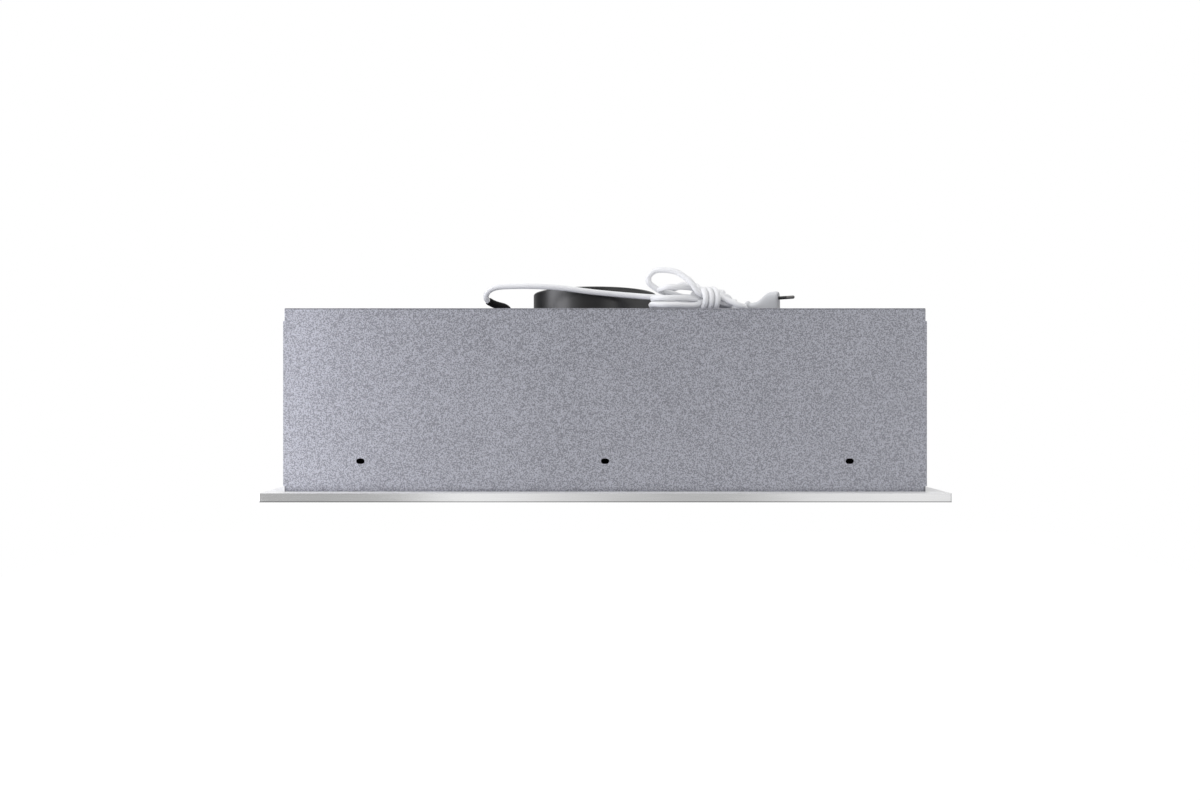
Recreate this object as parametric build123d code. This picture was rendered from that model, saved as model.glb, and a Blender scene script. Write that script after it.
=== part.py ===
from build123d import *
from math import cos, dist, pi, radians, sin, sqrt, tan
import os

# A built-in range hood. The origin is at the centre of the underside of its
# flange, the front faces -Y, +X is to the right and +Z is up. Millimetres.

# Flange that shows under the cabinet, a folded stainless pan
trim_w = 700.0
trim_d = 300.0
trim_h = 9.0
trim_sheet = 0.8
trim_corner = 1.2

# Galvanised casing
body_w = 660.0
body_d = 268.0
body_h = 189.0
sheet = 0.8
bend = 1.6
foot_flange = 18.0
side_return = 20.0
top_return = 28.0
side_sheet = 1.5
side_lift = 5.7
side_drop = 13.3
panel_gap = 0.5

# Slots in the front and back walls
slot_pitch = 252.0
slot_len = 8.5
slot_w = 5.6
slot_rise = 31.3
slot_sides = (-1, 0, 1)

# Rivets and screws
rivet_head_r = 3.0
rivet_head_h = 1.1
rivet_r = 1.6
rivet_tail_r = 2.2
rivet_tail_h = 1.2
rivet_pitch = 65.0
screw_head_r = 3.6
screw_head_h = 2.2
screw_r = 1.9
screw_tail = 4.0
screw_clear = 0.1
trim_screw_pitch = 190.0
trim_screw_count = 4
side_screw_pitch = 150.0

# Grease filters and the wells that hold them
web_half = 5.0
well_w = 300.0
well_d = 172.0
well_back_gap = 2.0
well_h = 10.7
well_ledge = 5.0
filter_gap = 1.0
filter_t = 9.0
filter_lift = 0.6
filter_side_bar = 13.0
filter_front_bar = 28.0
filter_rear_bar = 14.0
mesh_groove = 4.0
mesh_t = 1.6
grille_t = 0.8
grille_hole_l = 12.0
grille_hole_w = 5.0
grille_pitch_x = 15.0
grille_pitch_y = 8.0
pivot_r = 2.0
pivot_clear = 0.06
pivot_reach = 2.2

# Filter latches
latch_w = 36.0
latch_d = 10.0
latch_t = 3.2
latch_travel = 5.0
latch_clear = 0.4
latch_lip_w = 3.0
latch_lip_t = 1.4
tongue_w = 22.0
tongue_t = 1.8
tongue_short = 0.4
latch_spring_r = 1.4
latch_spring_l = 1.2
latch_grip_r = 4.0

# Lamps
lamp_x = 230.0
lamp_hole_r = 23.0
lamp_lens_r = 19.5
lamp_flange_r = 27.0
lamp_flange_t = 1.5
lamp_lip = 0.7
lens_t = 1.8
lens_rim_r = 22.0
lens_rim_t = 1.0
lamp_cup_h = 20.0
lamp_cup_wall = 1.5
lamp_board_r = 22.0
lamp_board_t = 1.6
lamp_board_rise = 9.0
led_size = 3.5
led_t = 0.8
led_ring_r = 12.0
led_count = 6
recess = 0.2

# Controls
button_count = 5
button_pitch = 25.0
button_r = 6.0
button_clear = 0.25
button_travel = 2.5
button_flange_r = 7.4
button_flange_t = 1.2
button_stem_r = 2.0
button_dish = 0.5
guide_h = 5.6
guide_wall = 1.3
window_w = 132.0
window_d = 22.0
window_r = 6.0
bezel_w = 150.0
bezel_d = 36.0
bezel_t = 1.6
control_h = 22.0
control_wall = 1.6
board_t = 1.6
board_drop = 4.0
board_rest = 3.0
switch_size = 6.4
switch_h = 2.0
button_spring_wall = 0.9
button_spring_gap = 0.4
stem_gap = 0.5

# Duct collar and its two flaps
collar_x = -11.3
collar_y = 18.7
collar_r = 75.0
collar_wall = 2.6
collar_h = 34.0
collar_rim = 2.2
collar_flange_r = 87.0
collar_flange_t = 3.0
collar_screw_r = 80.8
collar_screw_turn = 45.0
collar_screw_count = 4
collar_seat_w = 4.0
collar_seat_t = 1.6
collar_seat_rise = 7.0
collar_bar_half = 7.0
flap_clear = 1.2
flap_t = 1.2
flap_split = 5.0
flap_pin_r = 1.5
flap_barrel_r = 2.6
flap_pin_clear = 0.06
flap_hinge_rise = 3.4
flap_end_gap = 1.0

# Blower
scroll_w = 100.0
scroll_t = 1.5
scroll_band = 1.2
scroll_r = 88.0
scroll_step = 8.0
scroll_step_end = 7.0
scroll_tongue_deg = 104.0
tongue_nose = 3.0
axis_offset_y = 30.0
axis_z = 106.0
inlet_r = 52.0
inlet_lip = 2.6
outlet_flange = 12.0
outlet_flange_t = 1.2
wheel_r = 60.0
wheel_in_r = 50.0
wheel_w = 88.0
wheel_ring_t = 1.5
wheel_disc_t = 1.5
blade_count = 36
blade_t = 0.8
blade_lean = 28.0
hub_r = 10.0
hub_w = 14.0
shaft_r = 4.0
shaft_clear = 0.05
shaft_right = 14.0
lug_r = 7.0
lug_t = 3.0
lug_out = 5.3
lug_angles = (-35.0, -140.0, 172.0)

# Motor, held in the left inlet
motor_r = 38.0
motor_wall = 1.2
motor_len = 44.0
motor_cap_t = 1.5
bearing_r = 11.0
bearing_w = 7.0
bearing_step = 2.0
boss_wall = 2.0
core_in_r = 22.0
core_len = 16.0
rotor_r = 21.5
winding_in_r = 24.0
winding_out_r = 34.0
winding_len = 4.0
bracket_t = 1.5
bracket_ring_out = 44.0
bracket_ring_in = 30.0
bracket_arm_w = 12.0
bracket_arm_r = 61.0
bush_r = 5.0
bush_t = 3.0
bush_ring_r = 59.0
arm_angles = (30.0, 150.0, 270.0)
motor_screw_r = 1.6
motor_screw_head_r = 3.2
motor_screw_head_h = 1.8
motor_screw_tail = 3.0

# Capacitor, terminal box and wires
capacitor = (50.0, 24.0, 34.0)
capacitor_x = 95.0
capacitor_y = -70.0
gland_x = -110.4
gland_y = -37.0
box_w = 74.0
box_d = 62.0
box_h = 40.0
box_wall = 2.0
box_lid_t = 2.0
block_size = (34.0, 20.0, 14.0)
wire_r = 2.5
wire_bend = 9.0
wire_bend_tight = 3.5
wire_inset = 12.0
wire_rise = 38.0
capacitor_edge = 2.0

# Cord entry
gland_r = 9.0
gland_h = 3.5
gland_neck_r = 6.5
gland_nut_h = 4.5
sleeve_r = 4.4
sleeve_rise = 1.2
sleeve_bend_r = 8.0
sleeve_run = 18.5
sleeve_dir = Vector(-0.78, -0.50, 0.375).normalized()

# Cord
cord_r = 3.1
corner_share = 0.45
lead_fold_run = 9.0
lead_fold_turns = 3
lead_points = [(-112, -68, 230.6), (-85, -68.8, 229.9), (-50, -69, 228.4)]
lead_points += [(-16, -67.6, 223.9)]
lead_last_run = 22.0
tail_first_run = 12.0
tail_points = [(147, -113.4, 202.6), (150.2, -101.5, 201.3)]
tail_points += [(150.5, -79, 201.3), (143, -51, 201.3), (124, -27, 201.6)]
tail_points += [(119, 2, 205.5), (131, 24, 215), (151, 27.5, 221.8)]
plug_run = 9.0

# Hank of the cord on the roof: four strands wide and two high at its waist
hank_y = -95.0
strand_step = 6.8
strand_row = 6.75
strand_low = 208.0
waist_x0 = 98.5
waist_x1 = 121.5
low_lobe_x = 52.0
low_lobe_r = 20.0
low_lobe_z = (204.0, 202.7, 201.9)
mid_lobe_x = 53.0
mid_lobe_r = 17.0
mid_lobe_z = (210.8, 209.6, 208.3)
top_lobe_x = 60.7
top_lobe_r = 14.0
top_lobe_z = 222.0
wrap_x = 100.6
wrap_count = 3
wrap_flat = 9.15
wrap_r = 10.25

# Plug
plug_face = Vector(208.4, -6.0, 215.65)
plug_turn = -30.0
plug_half_w = 17.65
plug_t = 13.7
plug_flat = 9.0
plug_waist = 25.0
plug_neck_r = 6.0
plug_neck_l = 12.0
plug_body_l = 29.0
neck_bead_r = 8.4
neck_bead_w = 5.6
neck_bead_round = 2.0
plug_edge = 1.5
plug_flare = 1.0
plug_hollow = 1.5
pin_r = 2.0
pin_core_r = 1.6
pin_len = 19.0
pin_pitch = 19.0
pin_bare = 9.0
pin_root = 8.0

# Places worked out from the sizes above
body_z0 = trim_h
body_z1 = trim_h + body_h
roof_under = body_z1 - sheet
half_w = body_w / 2
half_d = body_d / 2
well_y1 = half_d - foot_flange - well_back_gap
well_y0 = well_y1 - well_d
strip_y = (well_y0 - half_d + foot_flange) / 2
slot_z = body_z0 + slot_rise
filter_z1 = filter_lift + filter_t
pivot_z = filter_lift + filter_t / 2
pivot_y = well_y1 - filter_gap - filter_t / 2
axis_y = collar_y - axis_offset_y
scroll_x0 = collar_x - scroll_w / 2
scroll_x1 = collar_x + scroll_w / 2
bezel_z1 = trim_sheet + bezel_t
reach = 1000.0
nodes = {}


def block(x0, x1, y0, y1, z0, z1):
    """A box between its six faces."""
    centre = Pos((x0 + x1) / 2, (y0 + y1) / 2, (z0 + z1) / 2)
    return centre * Box(abs(x1 - x0), abs(y1 - y0), abs(z1 - z0))


def rod(start, end, radius):
    """A round bar from one point to another."""
    axis = Vector(*end) - Vector(*start)
    plane = Plane(origin=Vector(*start), z_dir=axis)
    return extrude(plane * Circle(radius), axis.length)


def upright(x, y, z0, z1, radius):
    """A round bar standing on z0."""
    return rod((x, y, z0), (x, y, z1), radius)


def ring(x, y, z0, z1, outer, inner):
    """A standing ring."""
    return upright(x, y, z0, z1, outer) - upright(x, y, z0 - 1, z1 + 1, inner)


def cross_rod(x0, x1, y, z, radius):
    """A round bar along X."""
    return rod((x0, y, z), (x1, y, z), radius)


def cross_ring(x0, x1, y, z, outer, inner):
    """A ring along X."""
    low = min(x0, x1)
    high = max(x0, x1)
    return cross_rod(low, high, y, z, outer) - cross_rod(low - 1, high + 1, y, z, inner)


def keep(name, *pieces):
    """Write one named sub-part, as one solid or as a group of separate solids."""
    solids = []
    for piece in pieces:
        solids.extend(piece.solids())
    whole = solids[0] if len(solids) == 1 else Compound(solids)
    whole.label = name
    nodes[name] = whole
    export_step(whole, os.path.join("parts", name + ".step"))


def screw(x, y, seat_z):
    """A pan-head screw whose head sits on seat_z and whose shank points down."""
    head = upright(x, y, seat_z, seat_z + screw_head_h, screw_head_r)
    shank = upright(x, y, seat_z - screw_tail, seat_z, screw_r)
    return head + shank


# Casing

def rivet_places():
    """Heights and depths of the rivets on each side, as (y, z) pairs."""
    places = []
    edge_y = half_d - side_return / 2
    middle_z = body_z0 + body_h / 2
    for row in (-1, 0, 1):
        for side in (-1, 1):
            places.append((side * edge_y, middle_z + row * rivet_pitch))
    top_z = body_z1 - side_drop - (top_return - side_drop) / 2
    for side in (-1, 1):
        places.append((side * half_d / 2, top_z))
    return places


def slot_cuts():
    """The three slots, cut right through the front and back walls."""
    plane = Plane(origin=(0, -half_d - 1, slot_z), x_dir=(1, 0, 0), z_dir=(0, 1, 0))
    cuts = []
    for side in slot_sides:
        outline = plane * Pos(side * slot_pitch, 0) * SlotOverall(slot_len, slot_w)
        cuts.append(extrude(outline, body_d + 2))
    return cuts


def foot_screw_places():
    """Screws that hold the casing's bottom flanges to the flange pan."""
    places = []
    row_y = half_d - foot_flange / 2
    first = -(trim_screw_count - 1) / 2 * trim_screw_pitch
    for side in (-1, 1):
        for i in range(trim_screw_count):
            places.append((first + i * trim_screw_pitch, side * row_y, sheet))
    row_x = half_w - foot_flange / 2
    for side in (-1, 1):
        for end in (-1, 1):
            places.append((side * row_x, end * side_screw_pitch / 2, side_sheet))
    return places


def collar_screw_places():
    """Screws through the collar's flange, the roof and the blower's outlet flange."""
    places = []
    for i in range(collar_screw_count):
        turn = radians(collar_screw_turn + i * 360 / collar_screw_count)
        places.append((collar_x + collar_screw_r * cos(turn), collar_y + collar_screw_r * sin(turn)))
    return places


def make_body_shell():
    """Front, roof and back in one bent sheet, with flanges turned in at its edges."""
    outer = block(-half_w, half_w, -half_d, half_d, body_z0, body_z1)
    long_edges = outer.edges().filter_by(Axis.X).group_by(Axis.Z)[-1]
    outer = fillet(long_edges, bend)
    inner = block(-half_w - 1, half_w + 1, -half_d + sheet, half_d - sheet, body_z0 - 1, roof_under)
    inner_edges = inner.edges().filter_by(Axis.X).group_by(Axis.Z)[-1]
    inner = fillet(inner_edges, bend - sheet)
    shell = outer - inner
    for side in (-1, 1):
        foot = block(-half_w, half_w, side * half_d, side * (half_d - foot_flange), body_z0, body_z0 + sheet)
        shell += foot & outer
    for side in (-1, 1):
        skin = block(side * half_w, side * (half_w - sheet), -half_d, half_d, body_z0, body_z1)
        keep_open = block(
            side * (half_w + 1),
            side * (half_w - 2 * sheet),
            -half_d + side_return,
            half_d - side_return,
            body_z0 - 1,
            body_z1 - top_return,
        )
        shell += (skin & outer) - keep_open
    for cut in slot_cuts():
        shell -= cut
    shell -= upright(collar_x, collar_y, roof_under - 1, body_z1 + 1, collar_r - collar_wall)
    shell -= upright(gland_x, gland_y, roof_under - 1, body_z1 + 1, gland_neck_r)
    for x, y in collar_screw_places():
        shell -= upright(x, y, roof_under - 1, body_z1 + 1, screw_r + screw_clear)
    for x, y, thick in foot_screw_places():
        shell -= upright(x, y, body_z0 - 1, body_z0 + 2 * sheet, screw_r + screw_clear)
    for y, z in rivet_places():
        shell -= cross_rod(-half_w - 1, -half_w + 2, y, z, rivet_r)
        shell -= cross_rod(half_w - 2, half_w + 1, y, z, rivet_r)
    keep("body_shell", shell)


def make_side_panels():
    """Two flat ends, set in at the foot and riveted over the casing's side flanges."""
    low = body_z0 + side_lift
    high = body_z1 - side_drop
    inside_y = half_d - side_return - panel_gap
    for name, side in (("side_panel_left", -1), ("side_panel_right", 1)):
        panel = block(side * half_w, side * (half_w + side_sheet), -half_d, half_d, low, high)
        back = side * (half_w - side_sheet)
        foot = side * (half_w - foot_flange)
        panel += block(side * half_w, back, -inside_y, inside_y, body_z0, low + side_sheet)
        panel += block(side * half_w, foot, -inside_y, inside_y, body_z0, body_z0 + side_sheet)
        for y, z in rivet_places():
            panel -= cross_rod(side * (half_w - 1), side * (half_w + side_sheet + 1), y, z, rivet_r)
        for x, y, thick in foot_screw_places():
            if x * side > half_w - foot_flange:
                panel -= upright(x, y, body_z0 - 1, body_z0 + side_sheet + 1, screw_r + screw_clear)
        keep(name, panel)


def make_body_rivets():
    """Pop rivets through the side panels and the flanges behind them."""
    rivets = []
    for side in (-1, 1):
        face = half_w + side_sheet
        back = half_w - sheet
        for y, z in rivet_places():
            head = cross_rod(side * face, side * (face + rivet_head_h), y, z, rivet_head_r)
            rim = head.edges().filter_by(GeomType.CIRCLE).sort_by(Axis.X)
            head = fillet(rim[-1] if side > 0 else rim[0], rivet_head_h * 0.7)
            shank = cross_rod(side * face, side * back, y, z, rivet_r)
            tail = cross_rod(side * back, side * (back - rivet_tail_h), y, z, rivet_tail_r)
            rivets.append(head + shank + tail)
    keep("body_rivets", *rivets)


def well_range(side):
    """The low and high X of one filter well."""
    near = web_half
    far = web_half + well_w
    return (near, far) if side > 0 else (-far, -near)


def make_trim_frame():
    """The stainless pan: a plate with turned-up edges, lips, filter wells and holes."""
    wall = trim_sheet
    outer = block(-trim_w / 2, trim_w / 2, -trim_d / 2, trim_d / 2, 0, trim_h)
    outer = fillet(outer.edges().filter_by(Axis.Z), trim_corner)
    hollow = block(
        -trim_w / 2 + wall, trim_w / 2 - wall, -trim_d / 2 + wall, trim_d / 2 - wall, wall, trim_h - wall
    )
    mouth = block(
        -half_w + foot_flange,
        half_w - foot_flange,
        -half_d + foot_flange,
        half_d - foot_flange,
        trim_h / 2,
        trim_h + 1,
    )
    pan = outer - hollow - mouth
    for side in (-1, 1):
        x0, x1 = well_range(side)
        walls = block(x0 - wall, x1 + wall, well_y0 - wall, well_y1 + wall, 0, well_h)
        pan += walls
        pan -= block(x0, x1, well_y0, well_y1, -1, well_h - wall)
        ledge_y = well_y0 + well_ledge
        pan -= block(x0 + well_ledge, x1 - well_ledge, ledge_y, well_y1, wall, well_h + 1)
        pan -= cross_rod(x0 - 2 * wall, x1 + 2 * wall, pivot_y, pivot_z, pivot_r + pivot_clear)
        middle = (x0 + x1) / 2
        half = tongue_w / 2 + 1
        low = filter_lift + 1
        pan -= block(middle - half, middle + half, well_y0 - 2 * wall, well_y0, low, filter_z1 - 2)
        pan -= upright(side * lamp_x, strip_y, -1, wall + 1, lamp_hole_r)
    window = Pos(0, strip_y, -1) * extrude(RectangleRounded(window_w, window_d, window_r), wall + 2)
    pan -= window
    for x, y, thick in foot_screw_places():
        pan -= upright(x, y, trim_h - 2 * wall, trim_h + 1, screw_r + screw_clear)
    keep("trim_frame", pan)


def make_casing_screws():
    """Screws of the flange pan and of the duct collar."""
    screws = []
    for x, y, thick in foot_screw_places():
        screws.append(screw(x, y, body_z0 + thick))
    for x, y in collar_screw_places():
        screws.append(screw(x, y, body_z1 + collar_flange_t))
    keep("casing_screws", *screws)


# Grease filters

def make_filter(name, side):
    """One cassette filter, its net, pad, latch and latch spring."""
    x0, x1 = well_range(side)
    x0 += filter_gap
    x1 -= filter_gap
    y0 = well_y0 + filter_gap
    middle = (x0 + x1) / 2
    z0 = filter_lift
    z1 = filter_z1
    frame = block(x0, x1, y0, pivot_y, z0, z1)
    frame += cross_rod(x0, x1, pivot_y, pivot_z, filter_t / 2)
    hole_x0 = x0 + filter_side_bar
    hole_x1 = x1 - filter_side_bar
    hole_y0 = y0 + filter_front_bar
    hole_y1 = pivot_y + filter_t / 2 - filter_rear_bar
    frame -= block(hole_x0, hole_x1, hole_y0, hole_y1, z0 - 1, z1 + 1)
    groove_x0 = hole_x0 - mesh_groove
    groove_x1 = hole_x1 + mesh_groove
    groove_y0 = hole_y0 - mesh_groove
    groove_y1 = hole_y1 + mesh_groove
    groove_z0 = pivot_z - (mesh_t + grille_t) / 2
    groove_z1 = groove_z0 + grille_t + mesh_t
    frame -= block(groove_x0, groove_x1, groove_y0, groove_y1, groove_z0, groove_z1)
    for x, way in ((x0, -1), (x1, 1)):
        frame += cross_rod(x, x + way * pivot_reach, pivot_y, pivot_z, pivot_r)

    pocket_y0 = y0 + latch_d / 2
    pocket_y1 = pocket_y0 + latch_d + latch_travel + latch_spring_l + 2 * latch_clear
    pocket_z1 = z0 + latch_clear + latch_t + latch_clear
    half = latch_w / 2
    room = half + latch_clear
    frame -= block(middle - room, middle + room, pocket_y0, pocket_y1, z0 - 1, pocket_z1)
    lip_z0 = pocket_z1 - latch_lip_t - 2 * latch_clear
    frame -= block(
        middle - half - latch_lip_w - latch_clear,
        middle + half + latch_lip_w + latch_clear,
        pocket_y0,
        pocket_y1,
        lip_z0,
        pocket_z1,
    )
    tongue_z0 = z0 + latch_clear + (latch_t - tongue_t) / 2
    tongue_z1 = tongue_z0 + tongue_t
    frame -= block(
        middle - tongue_w / 2 - latch_clear,
        middle + tongue_w / 2 + latch_clear,
        y0 - 1,
        pocket_y0,
        tongue_z0 - latch_clear,
        tongue_z1 + latch_clear,
    )
    keep(name + "_frame", frame)

    net = block(groove_x0, groove_x1, groove_y0, groove_y1, groove_z0, groove_z0 + grille_t)
    count_x = int((hole_x1 - hole_x0) // grille_pitch_x)
    count_y = int((hole_y1 - hole_y0) // grille_pitch_y)
    holes = []
    for row in range(count_y):
        for column in range(count_x):
            px = (hole_x0 + hole_x1) / 2 + (column - (count_x - 1) / 2) * grille_pitch_x
            py = (hole_y0 + hole_y1) / 2 + (row - (count_y - 1) / 2) * grille_pitch_y
            holes.append(Pos(px, py) * SlotOverall(grille_hole_l, grille_hole_w))
    cutters = extrude(Sketch() + holes, grille_t + 2)
    net -= Pos(0, 0, groove_z0 - 1) * cutters
    pad = block(groove_x0, groove_x1, groove_y0, groove_y1, groove_z0 + grille_t, groove_z1)
    keep(name + "_mesh", net, pad)

    latch_y0 = pocket_y0 + latch_clear
    latch_y1 = latch_y0 + latch_d
    latch_z0 = z0 + latch_clear
    latch = block(middle - half, middle + half, latch_y0, latch_y1, latch_z0, latch_z0 + latch_t)
    lip_low = lip_z0 + latch_clear
    lip_half = half + latch_lip_w
    latch += block(middle - lip_half, middle + lip_half, latch_y0, latch_y1, lip_low, lip_low + latch_lip_t)
    tip_y = y0 - filter_gap + tongue_short
    tongue_half = tongue_w / 2
    latch += block(middle - tongue_half, middle + tongue_half, tip_y, latch_y0, tongue_z0, tongue_z1)
    latch -= upright(middle, (latch_y0 + latch_y1) / 2, z0 - 1, latch_z0 + latch_t / 2, latch_grip_r)
    keep(name + "_latch", latch)

    springs = []
    spring_z = latch_z0 + latch_t / 2
    for way in (-1, 1):
        at = middle + way * half / 2
        front = (at, pocket_y1 - latch_spring_l, spring_z)
        springs.append(rod(front, (at, pocket_y1, spring_z), latch_spring_r))
    keep(name + "_latch_springs", *springs)


# Lamps

def make_lamp(name, side):
    """One round lamp set in the pan: rim, lens and cup. Returns its board."""
    x = side * lamp_x
    top = trim_sheet + lamp_flange_t
    rim = ring(x, strip_y, recess, top, lamp_hole_r - lamp_lip / 2, lamp_lens_r)
    rim += ring(x, strip_y, trim_sheet, top, lamp_flange_r, lamp_lens_r)
    keep(name + "_rim", rim)
    lens = upright(x, strip_y, top - lens_t, top, lamp_lens_r)
    lens += upright(x, strip_y, top, top + lens_rim_t, lens_rim_r)
    keep(name + "_lens", lens)
    cup_top = top + lamp_cup_h
    cup = upright(x, strip_y, top, cup_top, lamp_flange_r)
    cup -= upright(x, strip_y, top - 1, top + lens_rim_t, lens_rim_r)
    board_z = top + lamp_board_rise
    cup -= upright(x, strip_y, top, board_z, lamp_board_r - lamp_cup_wall)
    cup -= upright(x, strip_y, board_z, cup_top - lamp_cup_wall, lamp_board_r)
    keep(name + "_cup", cup)
    board = upright(x, strip_y, board_z, board_z + lamp_board_t, lamp_board_r)
    for i in range(led_count):
        turn = 2 * pi * i / led_count
        led = Pos(x + led_ring_r * cos(turn), strip_y + led_ring_r * sin(turn), board_z - led_t / 2)
        board += led * Box(led_size, led_size, led_t)
    return board


# Controls

def button_x(i):
    return (i - (button_count - 1) / 2) * button_pitch


def make_controls():
    """A recessed bezel with five push buttons, a housing, a board and return springs."""
    z0 = trim_sheet
    bezel = Pos(0, strip_y, z0) * extrude(RectangleRounded(bezel_w, bezel_d, window_r), bezel_t)
    guide_r = button_r + button_clear
    for i in range(button_count):
        bezel += upright(button_x(i), strip_y, bezel_z1, bezel_z1 + guide_h, guide_r + guide_wall)
    for i in range(button_count):
        bezel -= upright(button_x(i), strip_y, z0 - 1, bezel_z1 + guide_h + 1, guide_r)
    keep("control_bezel", bezel)

    side = bezel_w / 2 - window_r / 2
    depth = bezel_d / 2
    top = bezel_z1 + control_h
    board_z = top - control_wall - board_drop
    housing = block(-side, side, strip_y - depth, strip_y + depth, bezel_z1, top)
    inner_x = side - control_wall
    inner_y = depth - control_wall
    housing -= block(-inner_x, inner_x, strip_y - inner_y, strip_y + inner_y, board_z, top - control_wall)
    low_x = inner_x - board_rest
    housing -= block(-low_x, low_x, strip_y - inner_y, strip_y + inner_y, bezel_z1 - 1, board_z)
    keep("control_housing", housing)

    board = block(-inner_x, inner_x, strip_y - inner_y, strip_y + inner_y, board_z, board_z + board_t)
    switch_z = board_z - switch_h
    for i in range(button_count):
        board += Pos(button_x(i), strip_y, board_z - switch_h / 2) * Box(switch_size, switch_size, switch_h)
    keep("control_board", board)

    flange_z = bezel_z1 + guide_h + button_clear
    stem_top = switch_z - button_travel - stem_gap
    names = ("button_off", "button_speed_1", "button_speed_2", "button_speed_3", "button_light")
    for i in range(button_count):
        x = button_x(i)
        button = upright(x, strip_y, recess, flange_z, button_r)
        dish = Pos(x, strip_y, recess - 2 * button_r + button_dish) * Sphere(2 * button_r)
        button -= dish
        button += upright(x, strip_y, flange_z, flange_z + button_flange_t, button_flange_r)
        button += upright(x, strip_y, flange_z, stem_top, button_stem_r)
        keep(names[i], button)

    springs = []
    spring_z = flange_z + button_flange_t + button_travel + button_spring_gap
    inner_r = button_stem_r + button_spring_gap
    for i in range(button_count):
        springs.append(ring(button_x(i), strip_y, spring_z, switch_z, inner_r + button_spring_wall, inner_r))
    keep("button_springs", *springs)


# Duct collar

def make_collar():
    """A round plastic spigot on the roof, with a seat for the flaps."""
    z0 = body_z1
    top = z0 + collar_h
    tube = upright(collar_x, collar_y, z0, top, collar_r)
    tube = fillet(tube.edges().filter_by(GeomType.CIRCLE).group_by(Axis.Z)[-1], collar_rim)
    flange = upright(collar_x, collar_y, z0, z0 + collar_flange_t, collar_flange_r)
    collar = tube + flange
    inner_r = collar_r - collar_wall
    collar -= upright(collar_x, collar_y, z0 - 1, top + 1, inner_r)
    seat_z = z0 + collar_seat_rise
    seat_top = seat_z + collar_seat_t
    collar += ring(collar_x, collar_y, seat_z, seat_top, inner_r + collar_wall / 2, inner_r - collar_seat_w)
    bar = block(collar_x - collar_bar_half, collar_x + collar_bar_half, -reach, reach, seat_z, seat_top)
    collar += bar & upright(collar_x, collar_y, seat_z, seat_top, inner_r + collar_wall / 2)
    for x, y in collar_screw_places():
        collar -= upright(x, y, z0 - 1, z0 + collar_flange_t + 1, screw_r + screw_clear)
    hinge_z = seat_top + flap_hinge_rise
    bores = upright(collar_x, collar_y, z0, top, collar_r - collar_wall / 3)
    for side in (-1, 1):
        x = collar_x + side * flap_split
        bore = rod((x, -reach, hinge_z), (x, reach, hinge_z), flap_pin_r + flap_pin_clear)
        collar -= bore & bores
    keep("duct_collar", collar)


def make_flaps():
    """Two half-round flaps that the air pushes open, each on its own pin."""
    inner_r = collar_r - collar_wall
    seat_top = body_z1 + collar_seat_rise + collar_seat_t
    hinge_z = seat_top + flap_hinge_rise
    flap_r = inner_r - flap_clear
    for name, side in (("flap_left", -1), ("flap_right", 1)):
        x = collar_x + side * flap_split
        disc = upright(collar_x, collar_y, seat_top, seat_top + flap_t, flap_r)
        half = block(x, x + side * reach, -reach, reach, seat_top - 1, seat_top + flap_t + 1)
        leaf = disc & half
        barrel_half = sqrt(flap_r ** 2 - (flap_split + flap_barrel_r) ** 2) - flap_end_gap
        y0 = collar_y - barrel_half
        y1 = collar_y + barrel_half
        barrel = rod((x, y0, hinge_z), (x, y1, hinge_z), flap_barrel_r)
        web = block(x, x + side * flap_t, y0, y1, seat_top, hinge_z)
        pin_half = sqrt((collar_r - collar_wall / 3) ** 2 - flap_split ** 2) - flap_end_gap
        pin = rod((x, collar_y - pin_half, hinge_z), (x, collar_y + pin_half, hinge_z), flap_pin_r)
        keep(name, leaf + barrel + web + pin)


# Blower

def scroll_arcs():
    """Centre and radius of the spiral's three arcs, which meet in line."""
    r2 = scroll_r - scroll_step
    return [
        ((axis_y, axis_z), scroll_r),
        ((axis_y, axis_z - scroll_step), r2),
        ((axis_y - scroll_step_end, axis_z - scroll_step), r2 - scroll_step_end),
    ]


def scroll_outline(grow):
    """The spiral of the blower's casing and its throat, grown by a wall."""
    (c1, r1), (c2, r2), (c3, r3) = scroll_arcs()
    r1 += grow
    r2 += grow
    r3 += grow
    tongue = radians(scroll_tongue_deg)

    def on(centre, radius, angle):
        return (centre[0] + radius * cos(angle), centre[1] + radius * sin(angle))

    start = on(c1, r1, 0)
    low = on(c1, r1, -pi / 2)
    left = on(c2, r2, pi)
    end = on(c3, r3, tongue)
    inner_y = end[0] - tongue_nose
    top = roof_under
    lines = [
        Line((start[0], top), start),
        ThreePointArc(start, on(c1, r1, -pi / 4), low),
        ThreePointArc(low, on(c2, r2, -3 * pi / 4), left),
        ThreePointArc(left, on(c3, r3, (pi + tongue) / 2), end),
        Line(end, (inner_y, end[1] + tongue_nose)),
        Line((inner_y, end[1] + tongue_nose), (inner_y, top)),
        Line((inner_y, top), (start[0], top)),
    ]
    return make_face(Wire(lines))


def throat_range():
    """The low and high Y of the blower's outlet."""
    centre, radius = scroll_arcs()[-1]
    end_y = centre[0] + radius * cos(radians(scroll_tongue_deg))
    return end_y - tongue_nose, axis_y + scroll_r


def lug_places():
    """One lug on each arc of the spiral, as (y, z)."""
    places = []
    for angle, (centre, radius) in zip(lug_angles, scroll_arcs()):
        turn = radians(angle)
        away = radius + lug_out
        places.append((centre[0] + away * cos(turn), centre[1] + away * sin(turn)))
    return places


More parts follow.
